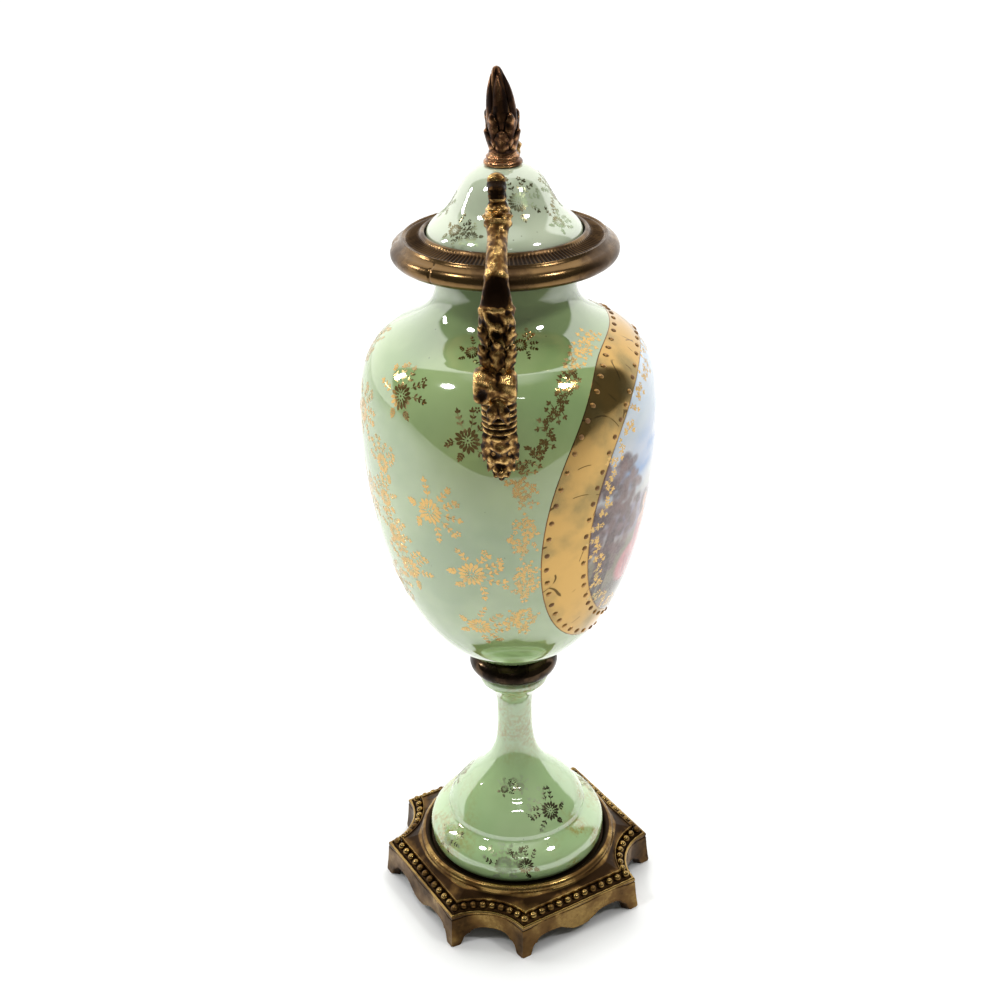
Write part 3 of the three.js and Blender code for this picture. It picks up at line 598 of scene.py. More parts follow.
bronze = aged_shaded_metal(
    "bronzed_brass", (0.022, 0.012, 0.006), (0.085, 0.048, 0.022), (0.21, 0.125, 0.052),
    60.0, 0.55, 0.95, 0.2,
)
collar = put_mesh("collar", *turned(collar_profile, COLLAR_SIDES, collar_relief), bronze)
collar_r, collar_z = (np.repeat(v[:, None], COLLAR_SIDES, 1) for v in collar_profile.T)
collar_turn = steps_round(COLLAR_SIDES)
# Patina and painted shade: the depth darkens the grooves between the ribs, and the whole top side a
# little.
collar_depth = -collar_relief(collar_r, collar_z, collar_turn)[1] / RIB_DEPTH
top_side = (collar_z > 313) & (collar_r > 31.2) & (collar_r < 41.5)
collar_depth = np.clip(0.9 * collar_depth + 0.1 * top_side, 0, 1)
finish_piece(collar, "collar", collar_depth, sharp=50)

# Lid: a hollow porcelain bell that just lifts off, with a flange that drops into the neck.
# Its lustre glaze is paler than the body's.
lid_profile = np.concatenate([
    [(0, 337.9), (8, 336.5), (13, 334.2), (16, 329), (19.5, 320), (20.4, 318.3)],
    eased([(20.5, 318), (20.5, 307.6), (23.3, 307.6), (23.3, 314.6), (30.2, 314.6),
           (30.6, 315.0), (30.6, 317.8)], 0.5, 4),
    sweep((30.6, 317.8), (29.06, 322.14), (23.23, 323.83), (19.9, 330), count=30)[1:],
    sweep((19.9, 330), (16.39, 335.73), (15.32, 340.01), (8.6, 342.8), count=26)[1:],
    [(8.0, 343.0), (0, 343.0)],
])
pale_glaze = lustre_glaze("pale_green_lustre", (0.57, 0.63, 0.46), (0.49, 0.57, 0.4))
lid = put_mesh("lid", *turned(lid_profile), pale_glaze)
finish_piece(lid, "lid", sharp=60)

# Finial: a cast bud wrapped in tiers of leaves on a ringed foot, its tip bent a little to one
# side. Dark copper brown, pinned to the lid.
def smooth_line(points, count):
    """Points on the smooth line through the given ones: each span is the cubic between its two
    ends, with tangents of half the chord between their neighbours."""
    p = np.asarray(points, float)
    p = np.concatenate([2 * p[:1] - p[1:2], p, 2 * p[-1:] - p[-2:-1]])
    u = np.linspace(0, len(p) - 3, count)
    i = np.minimum(u.astype(int), len(p) - 4)
    t = (u - i)[:, None]
    a, b, c, d = p[i], p[i + 1], p[i + 2], p[i + 3]
    bend = (2 * a - 5 * b + 4 * c - d) * t**2 + (3 * b - a - 3 * c + d) * t**3
    return 0.5 * (2 * b + (c - a) * t + bend)


def unit(v):
    """Vectors of length one: each divided by its own length."""
    return v / np.maximum(np.linalg.norm(v, axis=-1, keepdims=True), 1e-12)


def leaf(spine, side, width, thick, lobes, arch, vein, rows, sides):
    """A cast leaf along a spine: at each row the half width is a long oval with scalloped
    edges, and the section is a flat oval that arches away from the spine, with a raised vein
    down the middle and shallow folds out to each lobe. Returns skin and depth of relief."""
    centre = smooth_line(spine, rows)
    u = np.linspace(0.015, 1, rows)[:, None]
    run = unit(np.gradient(centre, axis=0))
    across = unit(side - run * (run @ np.asarray(side, float))[:, None])
    out = np.cross(across, run)
    q = steps_round(sides)[None]
    v = np.cos(q)
    scallop = 1 - 0.18 * np.abs(np.cos(np.pi * lobes * u)) ** 1.6 * (u < 0.93)
    half = width * np.sin(np.pi * np.clip(u, 0, 0.985) ** 0.8) ** 0.75 * scallop
    fold = np.cos(2 * np.pi * lobes * (u - 0.1 * np.abs(v))) * np.abs(v)
    body_half = thick * np.minimum(1, 3 * (1 - u) + 0.35)
    lift = -arch * half * v**2 + vein * body_half * np.exp(-((v / 0.22) ** 2))
    lift = lift - 0.3 * body_half * fold + body_half * np.sin(q)
    rings = centre[:, None] + across[:, None] * (half * v)[..., None]
    rings = rings + out[:, None] * lift[..., None]
    # Patina and painted shade: the depth darkens the folds and the whole underside of each leaf,
    # and leaves the raised vein lighter.
    depth = np.clip(0.35 + 0.4 * fold - 0.5 * np.exp(-((v / 0.25) ** 2)), 0, 1)
    depth = np.where(np.sin(q) < -0.1, 0.8, depth)
    made = closed_skin(rings, rings[0].mean(0), rings[-1].mean(0))
    return made, np.concatenate([depth.ravel(), [0.8, 0.1]])


def joined(skins):
    """Points, faces and depths of several skins as one mesh."""
    points, quads, fans, depths, shift = [], [], [], [], 0
    for (p, q, f), d in skins:
        points.append(p)
        quads.append(q + shift)
        fans.append(f + shift)
        depths.append(np.broadcast_to(d, len(p)))
        shift += len(p)
    faces = [np.concatenate(quads), np.concatenate(fans)]
    return np.concatenate(points), faces, np.concatenate(depths)


FINIAL_Z, FINIAL_TOP, CORE_SIDES, TIP_BEND = 343.3, 36.7, 60, 1.7


def finial_skins():
    """A turned core with rings at its foot, and leaves whose spines stand off it."""
    core = np.concatenate([
        eased(
            [(7.2, 0.0), (7.6, 0.5), (7.6, 1.3), (7.1, 1.9), (6.3, 2.1), (6.4, 2.7), (6.7, 3.1),
             (6.3, 3.7), (5.5, 4.0), (5.6, 4.6), (5.4, 5.2), (4.9, 5.8)], 0.3, 3
        ),
        smooth_line(
            [(4.9, 5.8), (4.6, 7.2), (4.9, 10), (5.3, 14), (5.4, 18), (5.1, 22), (4.3, 26.5),
             (3.2, 31), (2.3, 34.2), (1.4, 36.0), (0.5, 36.6)], 60
        )[1:],
    ])
    t = steps_round(CORE_SIDES)
    r, z = (np.repeat(v[:, None], CORE_SIDES, 1) for v in core.T)
    flute = np.clip((z - 18) / 4, 0, 1) * np.clip((36.5 - z) / 3, 0, 1)
    groove = np.abs(np.cos(2.5 * t + 0.4)) ** 0.6
    r = r * (1 - 0.16 * flute * (1 - groove))
    rings = rounded(r, t, z + FINIAL_Z)
    # Patina and painted shade: the depth darkens the flutes' grooves and the core above its rings,
    # under the leaves.
    depth = np.clip(flute * (1 - groove) * 1.6 + 0.5 * ((z > 5) & (z < 20)), 0, 1)
    skin = closed_skin(rings, [0, 0, FINIAL_Z], [0, 0, FINIAL_Z + FINIAL_TOP])
    skins = [(skin, np.concatenate([depth.ravel(), [0.8, 0]]))]
    tiers = (
        (0.63, (4.2, 4.9, 5.6, 6.2, 6.7, 6.4), (4.5, 6.6, 8.8, 11, 12.9, 14), 3.3, 3),
        (0.0, (4.8, 5.6, 6.0, 6.2, 6.4, 6.0), (7, 10, 13.5, 16.5, 19, 20.4), 2.8, 4),
        (0.63, (5.0, 5.4, 5.2, 4.6, 3.6, 2.4), (13, 17, 21.5, 26, 30, 33.8), 3.5, 0),
    )
    for turn, radii, heights, width, lobes in tiers:
        for angle in turn + steps_round(5):
            spine = rounded(np.array(radii), angle, FINIAL_Z + np.array(heights))
            side = (-np.sin(angle), np.cos(angle), 0)
            skins.append(leaf(spine, side, width, 0.55, lobes, 0.3, 0.5, 26, 14))
    return skins


points, faces, depth = joined(finial_skins())
points[:, 1] += TIP_BEND * np.clip((points[:, 2] - FINIAL_Z - 15) / 21, 0, 1) ** 1.5
copper = aged_shaded_metal(
    "copper_brown_brass", (0.02, 0.01, 0.007), (0.1, 0.045, 0.022), (0.52, 0.27, 0.13),
    190.0, 0.6, 1.1, 0.17, bump=0.3,
)
finial = put_mesh("finial", points / 1000, faces, copper)
finish_piece(finial, "finial", depth)

# Handles: two gilt castings, each an S-scroll that stands on the shoulder, swings out past the
# belly and curls in above the collar. Leaves, a rolled scroll, ribs and a knuckle ring are cast
# on it, and a strut meets the collar's edge.
BELLY, REACH = 61.0, 20.0
TIP_Z, RISE = 241.0, 113.5
HANDLE_WIDTH, TUBE_SIDES, ROLL_SIDES = 13.6, 36, 44
handle_stations = np.array([
    (0.1, 0.01, 0.17, 0.24), (0.22, 0.07, 0.3, 0.36), (0.4, 0.145, 0.33, 0.43),
    (0.55, 0.22, 0.28, 0.46), (0.63, 0.285, 0.28, 0.47), (0.7, 0.37, 0.34, 0.47),
    (0.56, 0.455, 0.27, 0.4), (0.58, 0.545, 0.28, 0.47), (0.64, 0.63, 0.27, 0.42),
    (0.5, 0.705, 0.25, 0.31), (0.13, 0.765, 0.23, 0.27), (-0.26, 0.8, 0.22, 0.27),
    (-0.5, 0.845, 0.29, 0.33), (-0.58, 0.89, 0.2, 0.26), (-0.55, 0.93, 0.18, 0.26),
    (-0.4, 0.957, 0.19, 0.27), (-0.24, 0.948, 0.18, 0.25), (-0.19, 0.922, 0.13, 0.2),
])


def on_handle(share, rise, y=0.0):
    """A point in millimetres, by shares of the reach past the belly and of the rise."""
    return np.array([BELLY + share * REACH, y, TIP_Z + rise * RISE])


def scroll_tube(line, thick, wide, relief):
    """A tube of oval section along a line in the upright plane: half thickness goes along the
    line's own side, half width across the plane. Relief swells the section by a share."""
    run = unit(np.gradient(line, axis=0))
    side = np.stack([run[:, 1], -run[:, 0]], -1)
    a = steps_round(TUBE_SIDES)[None]
    k = np.linspace(0, 1, len(line))[:, None]
    swell = 0 * k * a + relief(k, a)
    near = thick[:, None] * np.cos(a) * (1 + swell)
    x, z = line[:, :1] + side[:, :1] * near, line[:, 1:] + side[:, 1:] * near
    rings = np.stack([x, wide[:, None] * np.sin(a) * (1 + 0.6 * swell), z], -1)
    ends = [np.array([p[0], 0, p[1]]) for p in (line[0], line[-1])]
    # Patina and painted shade: the depth darkens the sunken relief and one side of the tube, and
    # the swellings are lighter.
    depth = np.clip(0.15 - 5 * swell - 0.5 * np.minimum(np.cos(a), 0), 0, 1)
    skin = closed_skin(rings[:, ::-1], *ends)
    return skin, np.concatenate([depth[:, ::-1].ravel(), [0.4, 0.4]])


def bump_at(k, middle, span):
    """A smooth hump about a middle: the bell curve e to the power of minus the square."""
    return np.exp(-(((k - middle) / span) ** 2))


def within(k, low, high):
    """One between two values and nothing outside them, with straight ends a quarter long."""
    return np.clip((k - low) / 0.25, 0, 1) * np.clip((high - k) / 0.25, 0, 1)


def cast_relief(share, a):
    """Swelling of the handle along its stations: lobes at the tip, ribs, the rough leaf with
    its curled edges, the hollow shield, the plain stem, the knuckle ring and the curl."""
    k = share * (len(handle_stations) - 1)
    face = np.clip(np.cos(a), 0, 1)
    lobes = 0.12 * np.cos(5 * a + 3 * k) + 0.13 * np.cos(2 * np.pi * 1.4 * k)
    lobes = within(k, 0.1, 2.5) * lobes
    ribs = within(k, 2.5, 4.6) * 0.13 * np.cos(2 * np.pi * 3.1 * k) * (0.4 + 0.6 * face)
    curls = np.cos(2 * np.pi * 1.5 * k + 1.5 * np.sin(a)) * np.cos(3 * a + 1.7 * k)
    veins = within(k, 4.9, 8.1) * (0.15 * curls + 0.07 * np.cos(11 * a + 5 * k))
    shield = -0.45 * bump_at(k, 8.5, 0.42) * face**2 + 0.13 * bump_at(k, 9.15, 0.13)
    rim = 0.16 * bump_at(k, 7.95, 0.1) + 0.05 * within(k, 9.2, 11.0) * np.cos(2 * a) ** 8
    knots = 0.08 * np.cos(7 * a + 6 * k) * within(k, 11.4, 12.9)
    ring = 0.3 * bump_at(k, 11.7, 0.13) + 0.4 * bump_at(k, 12.15, 0.15)
    ring = ring + 0.22 * bump_at(k, 12.6, 0.12)
    curl = within(k, 12.9, 16.6) * (-0.16 * np.abs(np.sin(a)) ** 6 + 0.07 * np.cos(7 * k))
    return lobes + ribs + veins + shield + rim + ring + knots + curl


def rolled_scroll(centre, scale):
    """A roll across the handle, turned about the crosswise axis: a large lobe on one side with
    a hollow in its outer face, a waist, and a smaller lobe on the other side."""
    profile = smooth_line(
        [(0.04, -0.5), (0.12, -0.53), (0.22, -0.62), (0.36, -0.64), (0.46, -0.56), (0.5, -0.42),
         (0.47, -0.26), (0.38, -0.12), (0.33, 0.0), (0.35, 0.12), (0.4, 0.24), (0.42, 0.36),
         (0.37, 0.46), (0.26, 0.5), (0.14, 0.44), (0.04, 0.4)],
        60,
    ) * scale
    t = steps_round(ROLL_SIDES)
    r, y = profile[:, :1], profile[:, 1:]
    turn = np.abs((t + 0.35 + np.pi) % (2 * np.pi) - np.pi)
    hollow = bump_at(y / scale, -0.4, 0.13) * bump_at(turn, 0, 0.42)
    r = r * (1 + 0.035 * np.cos(9 * t + 9 * y / scale) - 0.42 * hollow)
    rings = np.stack([centre[0] + r * np.cos(t), y + 0 * r, centre[2] + r * np.sin(t)], -1)
    ends = [centre + (0, v * scale, 0) for v in (-0.49, 0.39)]
    # Patina and painted shade: the depth darkens the roll where it narrows, at its waist and ends,
    # and in the hollow of its outer face.
    depth = np.clip(1.1 - 3.2 * profile[:, :1] / scale, 0, 1) + 0.3 * bump_at(y / scale, 0, 0.12)
    depth = np.clip(depth + 1.3 * hollow, 0, 1)
    skin = closed_skin(rings[:, ::-1], *ends)
    return skin, np.concatenate([depth[:, ::-1].ravel(), [1, 1]])


def handle_skins():
    """All castings of one handle, on the side of +X."""
    s = smooth_line(handle_stations, 300)
    line = np.stack([BELLY + s[:, 0] * REACH, TIP_Z + s[:, 1] * RISE], -1)
    skins = [scroll_tube(line, s[:, 2] * HANDLE_WIDTH, s[:, 3] * HANDLE_WIDTH, cast_relief)]
    skins.append(rolled_scroll(on_handle(0.76, 0.375), HANDLE_WIDTH))
    strut = smooth_line([(63.0, 327.8), (55.0, 322.2), (47.0, 314.0), (44.9, 311.6)], 40)
    strut_half = np.linspace(2.5, 2.3, 40)
    skins.append(scroll_tube(strut, strut_half, strut_half, lambda k, a: 0.05 * np.cos(5 * a)))
    skins.append((ball(on_handle(-0.38, 0.972), (2.4, 3.4, 2.8)), 0.05))
    blades = [
        ([(0.66, 0.245), (0.62, 0.19), (0.5, 0.13), (0.42, 0.085)], 2.2, 6.3, 2.9, 4),
        ([(0.52, 0.15), (0.44, 0.105), (0.36, 0.065), (0.34, 0.04)], 1.6, 4.9, 2.4, 3),
        ([(0.8, 0.425), (0.84, 0.46), (0.84, 0.5), (0.92, 0.53)], 0.0, 0.0, 3.4, 3),
        ([(0.72, 0.41), (0.78, 0.45), (0.8, 0.49), (0.86, 0.52)], 2.6, 6.2, 2.7, 4),
        ([(0.72, 0.5), (0.78, 0.53), (0.82, 0.56), (0.9, 0.58)], 3.2, 6.4, 2.1, 3),
        ([(0.86, 0.345), (0.95, 0.31), (0.93, 0.275), (0.9, 0.25)], 0.0, 3.6, 2.6, 3),
    ]
    for places, y_low, y_high, width, lobes in blades:
        across = (0, np.sign(places[-1][1] - places[0][1]), 0)
        for way in (1, -1) if y_high else (1,):
            y = way * np.linspace(y_low, y_high, len(places))
            spine = np.array([on_handle(*p, v) for p, v in zip(places, y)])
            skins.append(leaf(spine, across, width, 0.75, lobes, 0.3, 0.5, 30, 14))
    hub = on_handle(0.36, 0.035)
    skins.append((ball(hub + (0.6, 0, 0), (1.5, 1.6, 1.6)), 0.15))
    for angle in np.arange(6) * np.pi / 3 + np.pi / 6:
        out = np.array([-0.25, np.cos(angle), np.sin(angle)])
        spine = hub + np.array([0.6, 1.6, 2.7, 3.5])[:, None] * out
        skins.append(leaf(spine, np.cross(out, (1, 0, 0)), 1.5, 0.55, 2, 0.2, 0.4, 14, 12))
    return skins


gilt = aged_shaded_metal(
    "gilt_casting", (0.016, 0.008, 0.004), (0.14, 0.068, 0.021), (0.72, 0.45, 0.16),
    420.0, 0.55, 1.35, 0.19, bump=0.35,
)
points, faces, depth = joined(handle_skins())
for name, way in (("handle_right", 1), ("handle_left", -1)):
    handle = put_mesh(name, points * (way / 1000, way / 1000, 1 / 1000), faces, gilt)
    finish_piece(handle, name, depth)

# Gilding on the porcelain: printed gold sprays, lace columns and garlands, all flush with the
# glaze. Each petal and leaf is a film of gold, mirror bright where whole and worn on the lid.
FILM, LACE_DENSITY = 0.045, 0.34
PANEL_ANGLE, WIDEST = -np.pi / 2, 239.0
chance = np.random.default_rng(31)


def wall_place(profile, angle, height, x, y, lift):
    """Points on a turned wall, in metres: x runs along the parallel and y up the meridian from
    a place given by its angle and height, all in millimetres, and lift stands off the wall."""
    s = np.concatenate([[0], np.cumsum(np.hypot(*np.diff(profile, axis=0).T))])
    at = np.interp(height, profile[:, 1], s) + y
    r, z = np.interp(at, s, profile[:, 0]), np.interp(at, s, profile[:, 1])
    dr = np.interp(at + 0.5, s, profile[:, 0]) - np.interp(at - 0.5, s, profile[:, 0])
    dz = np.interp(at + 0.5, s, profile[:, 1]) - np.interp(at - 0.5, s, profile[:, 1])
    size = np.maximum(np.hypot(dr, dz), 1e-9)
    t = angle + x / r
    r, z = r + lift * dz / size, z - lift * dr / size
    return rounded(r, t, z) / 1000


def petals(roots, angles, lengths, widths, corners=6):
    """Outlines of pointed ovals: from each root, a share t of the length along the angle, the
    half width is the sine of pi t, out on one side and back on the other."""
    sizes = [np.asarray(v, float)[..., None] for v in (angles, lengths, widths)]
    roots, angles, lengths, widths = np.broadcast_arrays(np.asarray(roots, float), *sizes)
    t = np.linspace(0, 1, corners // 2 + 1)
    t = np.concatenate([t, t[-2:0:-1]])
    way = np.where(np.arange(len(t)) <= corners // 2, -1, 1)
    along = lengths[:, :1] * t
    aside = widths[:, :1] / 2 * np.sin(np.pi * t) ** 0.8 * way
    c, s = np.cos(angles[:, :1]), np.sin(angles[:, :1])
    x, y = along * c - aside * s, along * s + aside * c
    return np.stack([roots[:, :1] + x, roots[:, 1:] + y], -1)


def from_place(x, y, far, angle):
    """Places at a distance and an angle from one place: x + far cos angle, y + far sin angle."""
    return x + far * np.cos(angle), y + far * np.sin(angle)


def flower(x, y, radius):
    """Outlines of a many-petalled flower seen from above, in three rings and a heart."""
    made = []
    for share, count in ((1.0, 15), (0.7, 12), (0.42, 9)):
        a = steps_round(count) + chance.uniform(0, 1)
        roots = np.stack(from_place(x, y, radius * share * 0.5, a), -1)
        reach = radius * share * chance.uniform(0.42, 0.62, count)
        made.append(petals(roots, a, reach, radius * share * 0.29, corners=8))
    made.append(petals(np.array([[x - 0.09 * radius, y]]), [0.0], radius * 0.18, radius * 0.16))
    return made


def twig(x, y, angle, length, size, leaves):
    """Outlines of a stem with pairs of small leaves and one at its end."""
    bend = chance.uniform(-0.5, 0.5)
    t = np.linspace(0.22, 0.9, leaves)
    a = angle + bend * t
    at = np.stack(from_place(x, y, length * t, a), -1)
    made = [petals(np.array([[x, y]]), [angle + bend * 0.55], length, size * 0.2, corners=16)]
    for way in (-1, 1):
        spread = 0.75 + 0.2 * chance.random(leaves)
        made.append(petals(at, a + way * spread, size * (1.1 - 0.35 * t), size * 0.46))
    return made + [petals(at[-1:], a[-1:], size * 1.1, size * 0.5)]


def sprig(x, y, *sizes):
    """Outlines of twigs of each (length, leaf) from one place, each in any direction."""
    made = []
    for length, size in sizes:
        made += twig(x, y, chance.uniform(0, 2 * np.pi), length, size, 2)
    return made


def blossom(x, y, radius):
    """Outlines of a five-petalled blossom."""
    a = steps_round(5) + chance.uniform(0, 1.2)
    roots = np.stack(from_place(x, y, 0.2 * radius, a), -1)
    return [petals(roots, a, radius * 0.8, radius * 0.62)]


def spray(size, turn):
    """A flower with twigs and smaller blossoms to one side."""
    middle, radius = (-0.16 * size, 0), 0.34 * size
    made = flower(*middle, radius)
    for k, angle in enumerate(turn + np.array([-1.2, -0.6, -0.1, 0.4, 0.9, 1.6, 2.9, 3.9])):
        reach = size * (0.46 if k < 6 else 0.24) * chance.uniform(0.75, 1.05)
        start = from_place(*middle, radius, angle)
        made += twig(*start, angle, reach, 0.135 * size, 3)
        if k in (1, 3, 4):
            made += blossom(*from_place(*start, 1.1 * reach, angle), 0.09 * size)
    return made


def lace(width, low, high):
    """A column of twigs and blossoms, thrown evenly between two heights, but wider and
    narrower by a sine wave, and broken off where it is lowest."""
    count = int(width * (high - low) * LACE_DENSITY)
    made = []
    for k in range(count):
        wave = np.sin(21.0 * k / count)
        if wave < -0.55:
            continue
        x = chance.uniform(-0.5, 0.5) * width * (0.7 + 0.4 * wave)
        y = low + (high - low) * (k + chance.random()) / count
        if k % 3:
            made += sprig(x, y, (3.0, 1.25))
        else:
            made += blossom(x, y, 1.1)
    return made


def gold_films(name, groups, gold, film=FILM):
    """One thin closed film for each outline, its top just proud of the glaze and its foot just
    under it. Each group is (profile, angle, height, outlines in millimetres)."""
    points, faces, shift = [], {}, 0
    for profile, angle, height, outlines in groups:
        for n in {len(o[0]) for o in outlines}:
            flat = np.concatenate([o for o in outlines if len(o[0]) == n])
            m = len(flat)
            top = wall_place(profile, angle, height, flat[..., 0], flat[..., 1], film)
            low = wall_place(profile, angle, height, flat[..., 0], flat[..., 1], -film)
            points.append(np.concatenate([top, low], 1).reshape(-1, 3))
            base = shift + np.arange(m)[:, None] * 2 * n
            k = np.arange(n)
            faces.setdefault(n, []).append(base + k)
            faces[n].append(base + n + k[::-1])
            ring = np.stack([k, n + k, n + (k + 1) % n, (k + 1) % n], -1)
            faces.setdefault(4, []).append((base[:, None] + ring).reshape(-1, 4))
            shift += m * 2 * n
    made = put_mesh(name, np.concatenate(points), [np.concatenate(f) for f in faces.values()], gold)
    made.data.polygons.foreach_set("use_smooth", np.zeros(len(made.data.polygons), bool))
    finish_piece(made)


def sprays_at(profile, places):
    """A group for gold_films from each (azimuth, height, size, turn)."""
    return [(profile, np.radians(a), z, spray(size, turn)) for a, z, size, turn in places]


def gilding(name, bright, worn, wear_low, wear_high, rough):
    """Fired gold: mirror bright, rubbed duller and paler in patches."""
    made, tree, shader = new_material(name)
    wear = ramped(noise(own_place(tree), 95.0, 5.0), wear_low, wear_high)
    tone = blended(wear, bright, worn)
    dull = ramped(wear, 0, 1, rough, rough + 0.25)
    metal = ramped(wear, 0, 1, 1.0, 0.55)
    set_inputs(shader, {"Base Color": tone, "Roughness": dull, "Metallic": metal})
    return made


body_gold = gilding("fired_gold", (0.62, 0.4, 0.15), (0.52, 0.4, 0.19), 0.5, 0.78, 0.12)
side_sprays = [
    (153.6, 221, 17, 0.0), (169, 194, 17, 0.2), (169, 165, 15, -0.2), (137, 188, 17, 1.2),
    (139.5, 265, 16, 1.4), (170, 254, 15, 0.4), (129, 234, 13, 1.5), (128, 218, 12, 1.7),
    (131, 203, 13, 1.3), (165, 281, 9, 0.1), (193, 283, 9, 0.2),
]
back_sprays = [
    (112, 250, 16, 0.5), (108, 212, 17, 0.1), (118, 175, 15, -0.3), (90, 268, 15, 0.9),
    (90, 231, 19, 0.2), (90, 190, 17, 0.7), (90, 160, 13, 0.0),
]
both_sides = [
    (angle, *rest)
    for azimuth, *rest in side_sprays + back_sprays
    for angle in {azimuth, 180 - azimuth}
]
gold_films("body_sprays", sprays_at(body_outer, both_sides), body_gold)

groups = []
for way in (-1, 1):
    column = PANEL_ANGLE + way * np.radians(82.5)
    groups.append((body_outer, column, 200, lace(9.0, -38, 38)))
    trail = smooth_line(
        [(84.5, 238), (80, 246), (75, 253), (71.5, 261), (66, 267), (60.5, 272.5), (54, 276.5),
         (43, 279.5), (30, 281)],
        34,
    )
    for degrees, height in trail:
        bits = sprig(0, 0, (4.2, 1.8), (3.6, 1.7))
        bits += blossom(chance.uniform(-2, 2), chance.uniform(-2, 2), 1.0)
        groups.append((body_outer, PANEL_ANGLE + way * np.radians(degrees), height, bits))
gold_films("body_lace", groups, body_gold)

# Worn gilding on the lid and the foot: the same printed sprays, rubbed down by handling to
# thin grey-brown traces on the glaze.
worn_gold = gilding("rubbed_gold", (0.26, 0.23, 0.13), (0.34, 0.42, 0.25), 0.42, 0.62, 0.18)
lid_outer = lid_profile[(lid_profile[:, 1] > 317.7) & (np.arange(len(lid_profile)) > 20)]
lid_places = (
    (206, 333, 12, 0.9), (140, 323, 9, 0.0), (158, 322, 8, 2.6), (242, 324, 9, 0.3),
    (95, 327, 9, 1.2), (275, 332, 11, 1.8), (20, 328, 11, 0.4), (325, 325, 9, 2.0),
    (60, 333, 8, 1.0),
)
gold_films("lid_sprays", sprays_at(lid_outer, lid_places), worn_gold)
foot_places = (
    (176, 33, 13, 1.4), (190, 33, 11, 2.0), (168, 59, 6, 0.8), (192, 60, 6, 2.0),
    (222, 50, 13, 2.2), (130, 35, 10, 1.2), (75, 48, 11, 0.8), (300, 34, 11, 1.6), (0, 34, 12, 1.4),
    (15, 52, 9, 2.0), (345, 36, 10, 1.2),
)
gold_films("foot_sprays", sprays_at(foot_outer, foot_places), worn_gold)

# Painted reserve: an oval picture in a broad gold band on the front of the body. The band is
# burnished gold edged with small raised dots; the picture is an enamel landscape.
BAND_OUTER, BAND_INNER = (77.8, 74.0, -25.0), (56.7, 60.5, -27.0)
BAND_STEPS, DOT_SIDES = 480, 12
DOT_RADIUS, DOT_RISE, DOT_SINK = 1.15, 0.57, 0.05


def oval(axes, t, share=1.0):
    """Points of an oval about its own centre, as x along the parallel and y up the meridian."""
    return np.cos(t) * axes[0] * share, axes[2] + np.sin(t) * axes[1] * share


def on_body(x, y, lift):
    """Places on the front of the body, measured from the widest line."""
    return wall_place(body_outer, PANEL_ANGLE, WIDEST, x, y, lift)


def band_material():
    """Burnished gold with a brown line at each edge, rubbed patches, and scratches along the
    lines where a slow noise crosses its middle value, kept in some places only."""
    made, tree, shader = new_material("burnished_gold")
    place = own_place(tree)
    edge = new_node(tree, "ShaderNodeAttribute", attribute_name="hollow").outputs["Fac"]
    cuts = []
    for turn in ((0.5, 0.3, 0.9), (1.2, 0.1, 0.2)):
        given = {"Vector": place, "Rotation": turn, "Scale": (70, 16, 40)}
        streak = new_node(tree, "ShaderNodeMapping", given).outputs[0]
        off = sums("ABSOLUTE", sums("SUBTRACT", noise(streak, 1.0, 0.0), 0.5))
        cuts.append(ramped(off, 0.003, 0.007, 1.0, 0.0))
    some = ramped(noise(place, 75.0), 0.52, 0.56)
    cut = sums("MULTIPLY", sums("MAXIMUM", *cuts), some)
    patch = noise(place, 60.0, 6.0)
    rub = ramped(patch, 0.4, 0.68)
    tone = blended(rub, (0.55, 0.345, 0.12), (0.33, 0.24, 0.1))
    tone = blended(cut, tone, (0.13, 0.08, 0.03))
    tone = blended(sums("MULTIPLY", edge, 0.85), tone, (0.14, 0.06, 0.025))
    dull = ramped(rub, 0, 1, 0.09, 0.24)
    set_inputs(shader, {"Base Color": tone, "Roughness": dull, "Metallic": 1.0})
    add_relief(shader, patch, 0.06, 0.0004)
    return made


def facing_out(piece):
    """Turns the faces of a closed piece outwards."""
    work = bmesh.new()
    work.from_mesh(piece.data)
    bmesh.ops.recalc_face_normals(work, faces=work.faces)
    work.to_mesh(piece.data)
    work.free()
    return piece


t = steps_round(BAND_STEPS)[:, None]
share = np.sort(np.append(np.linspace(0, 1, 37), [0.012, 0.988]))
inner_x, inner_y = oval(BAND_INNER, t)
outer_x, outer_y = oval(BAND_OUTER, t)
flat = inner_x + (outer_x - inner_x) * share, inner_y + (outer_y - inner_y) * share
band_rows = np.concatenate([on_body(*flat, FILM), on_body(*flat, -FILM)[:, ::-1]], 1)
band_faces = grid_faces(*band_rows.shape[:2], close_rows=True)
band = put_mesh("gold_band", band_rows.reshape(-1, 3), [band_faces], band_material())
band_edge = np.tile(np.abs(share - 0.5) > 0.487, (BAND_STEPS, 2))
finish_piece(facing_out(band), hollow=band_edge)


def dot_row(axes, inset, pitch):
    """Places of small dots, set by hand at nearly one pitch along an oval drawn in or out."""
    fine = np.linspace(0, 2 * np.pi, 2000)
    x, y = oval((axes[0] + inset, axes[1] + inset, axes[2]), fine)
    run = np.concatenate([[0], np.cumsum(np.hypot(np.diff(x), np.diff(y)))])
    at = np.linspace(0, run[-1], int(round(run[-1] / pitch)) + 1)[:-1]
    at = at + chance.uniform(-0.7, 0.7, len(at))
    return np.stack([np.interp(at, run, x), np.interp(at, run, y)], -1)


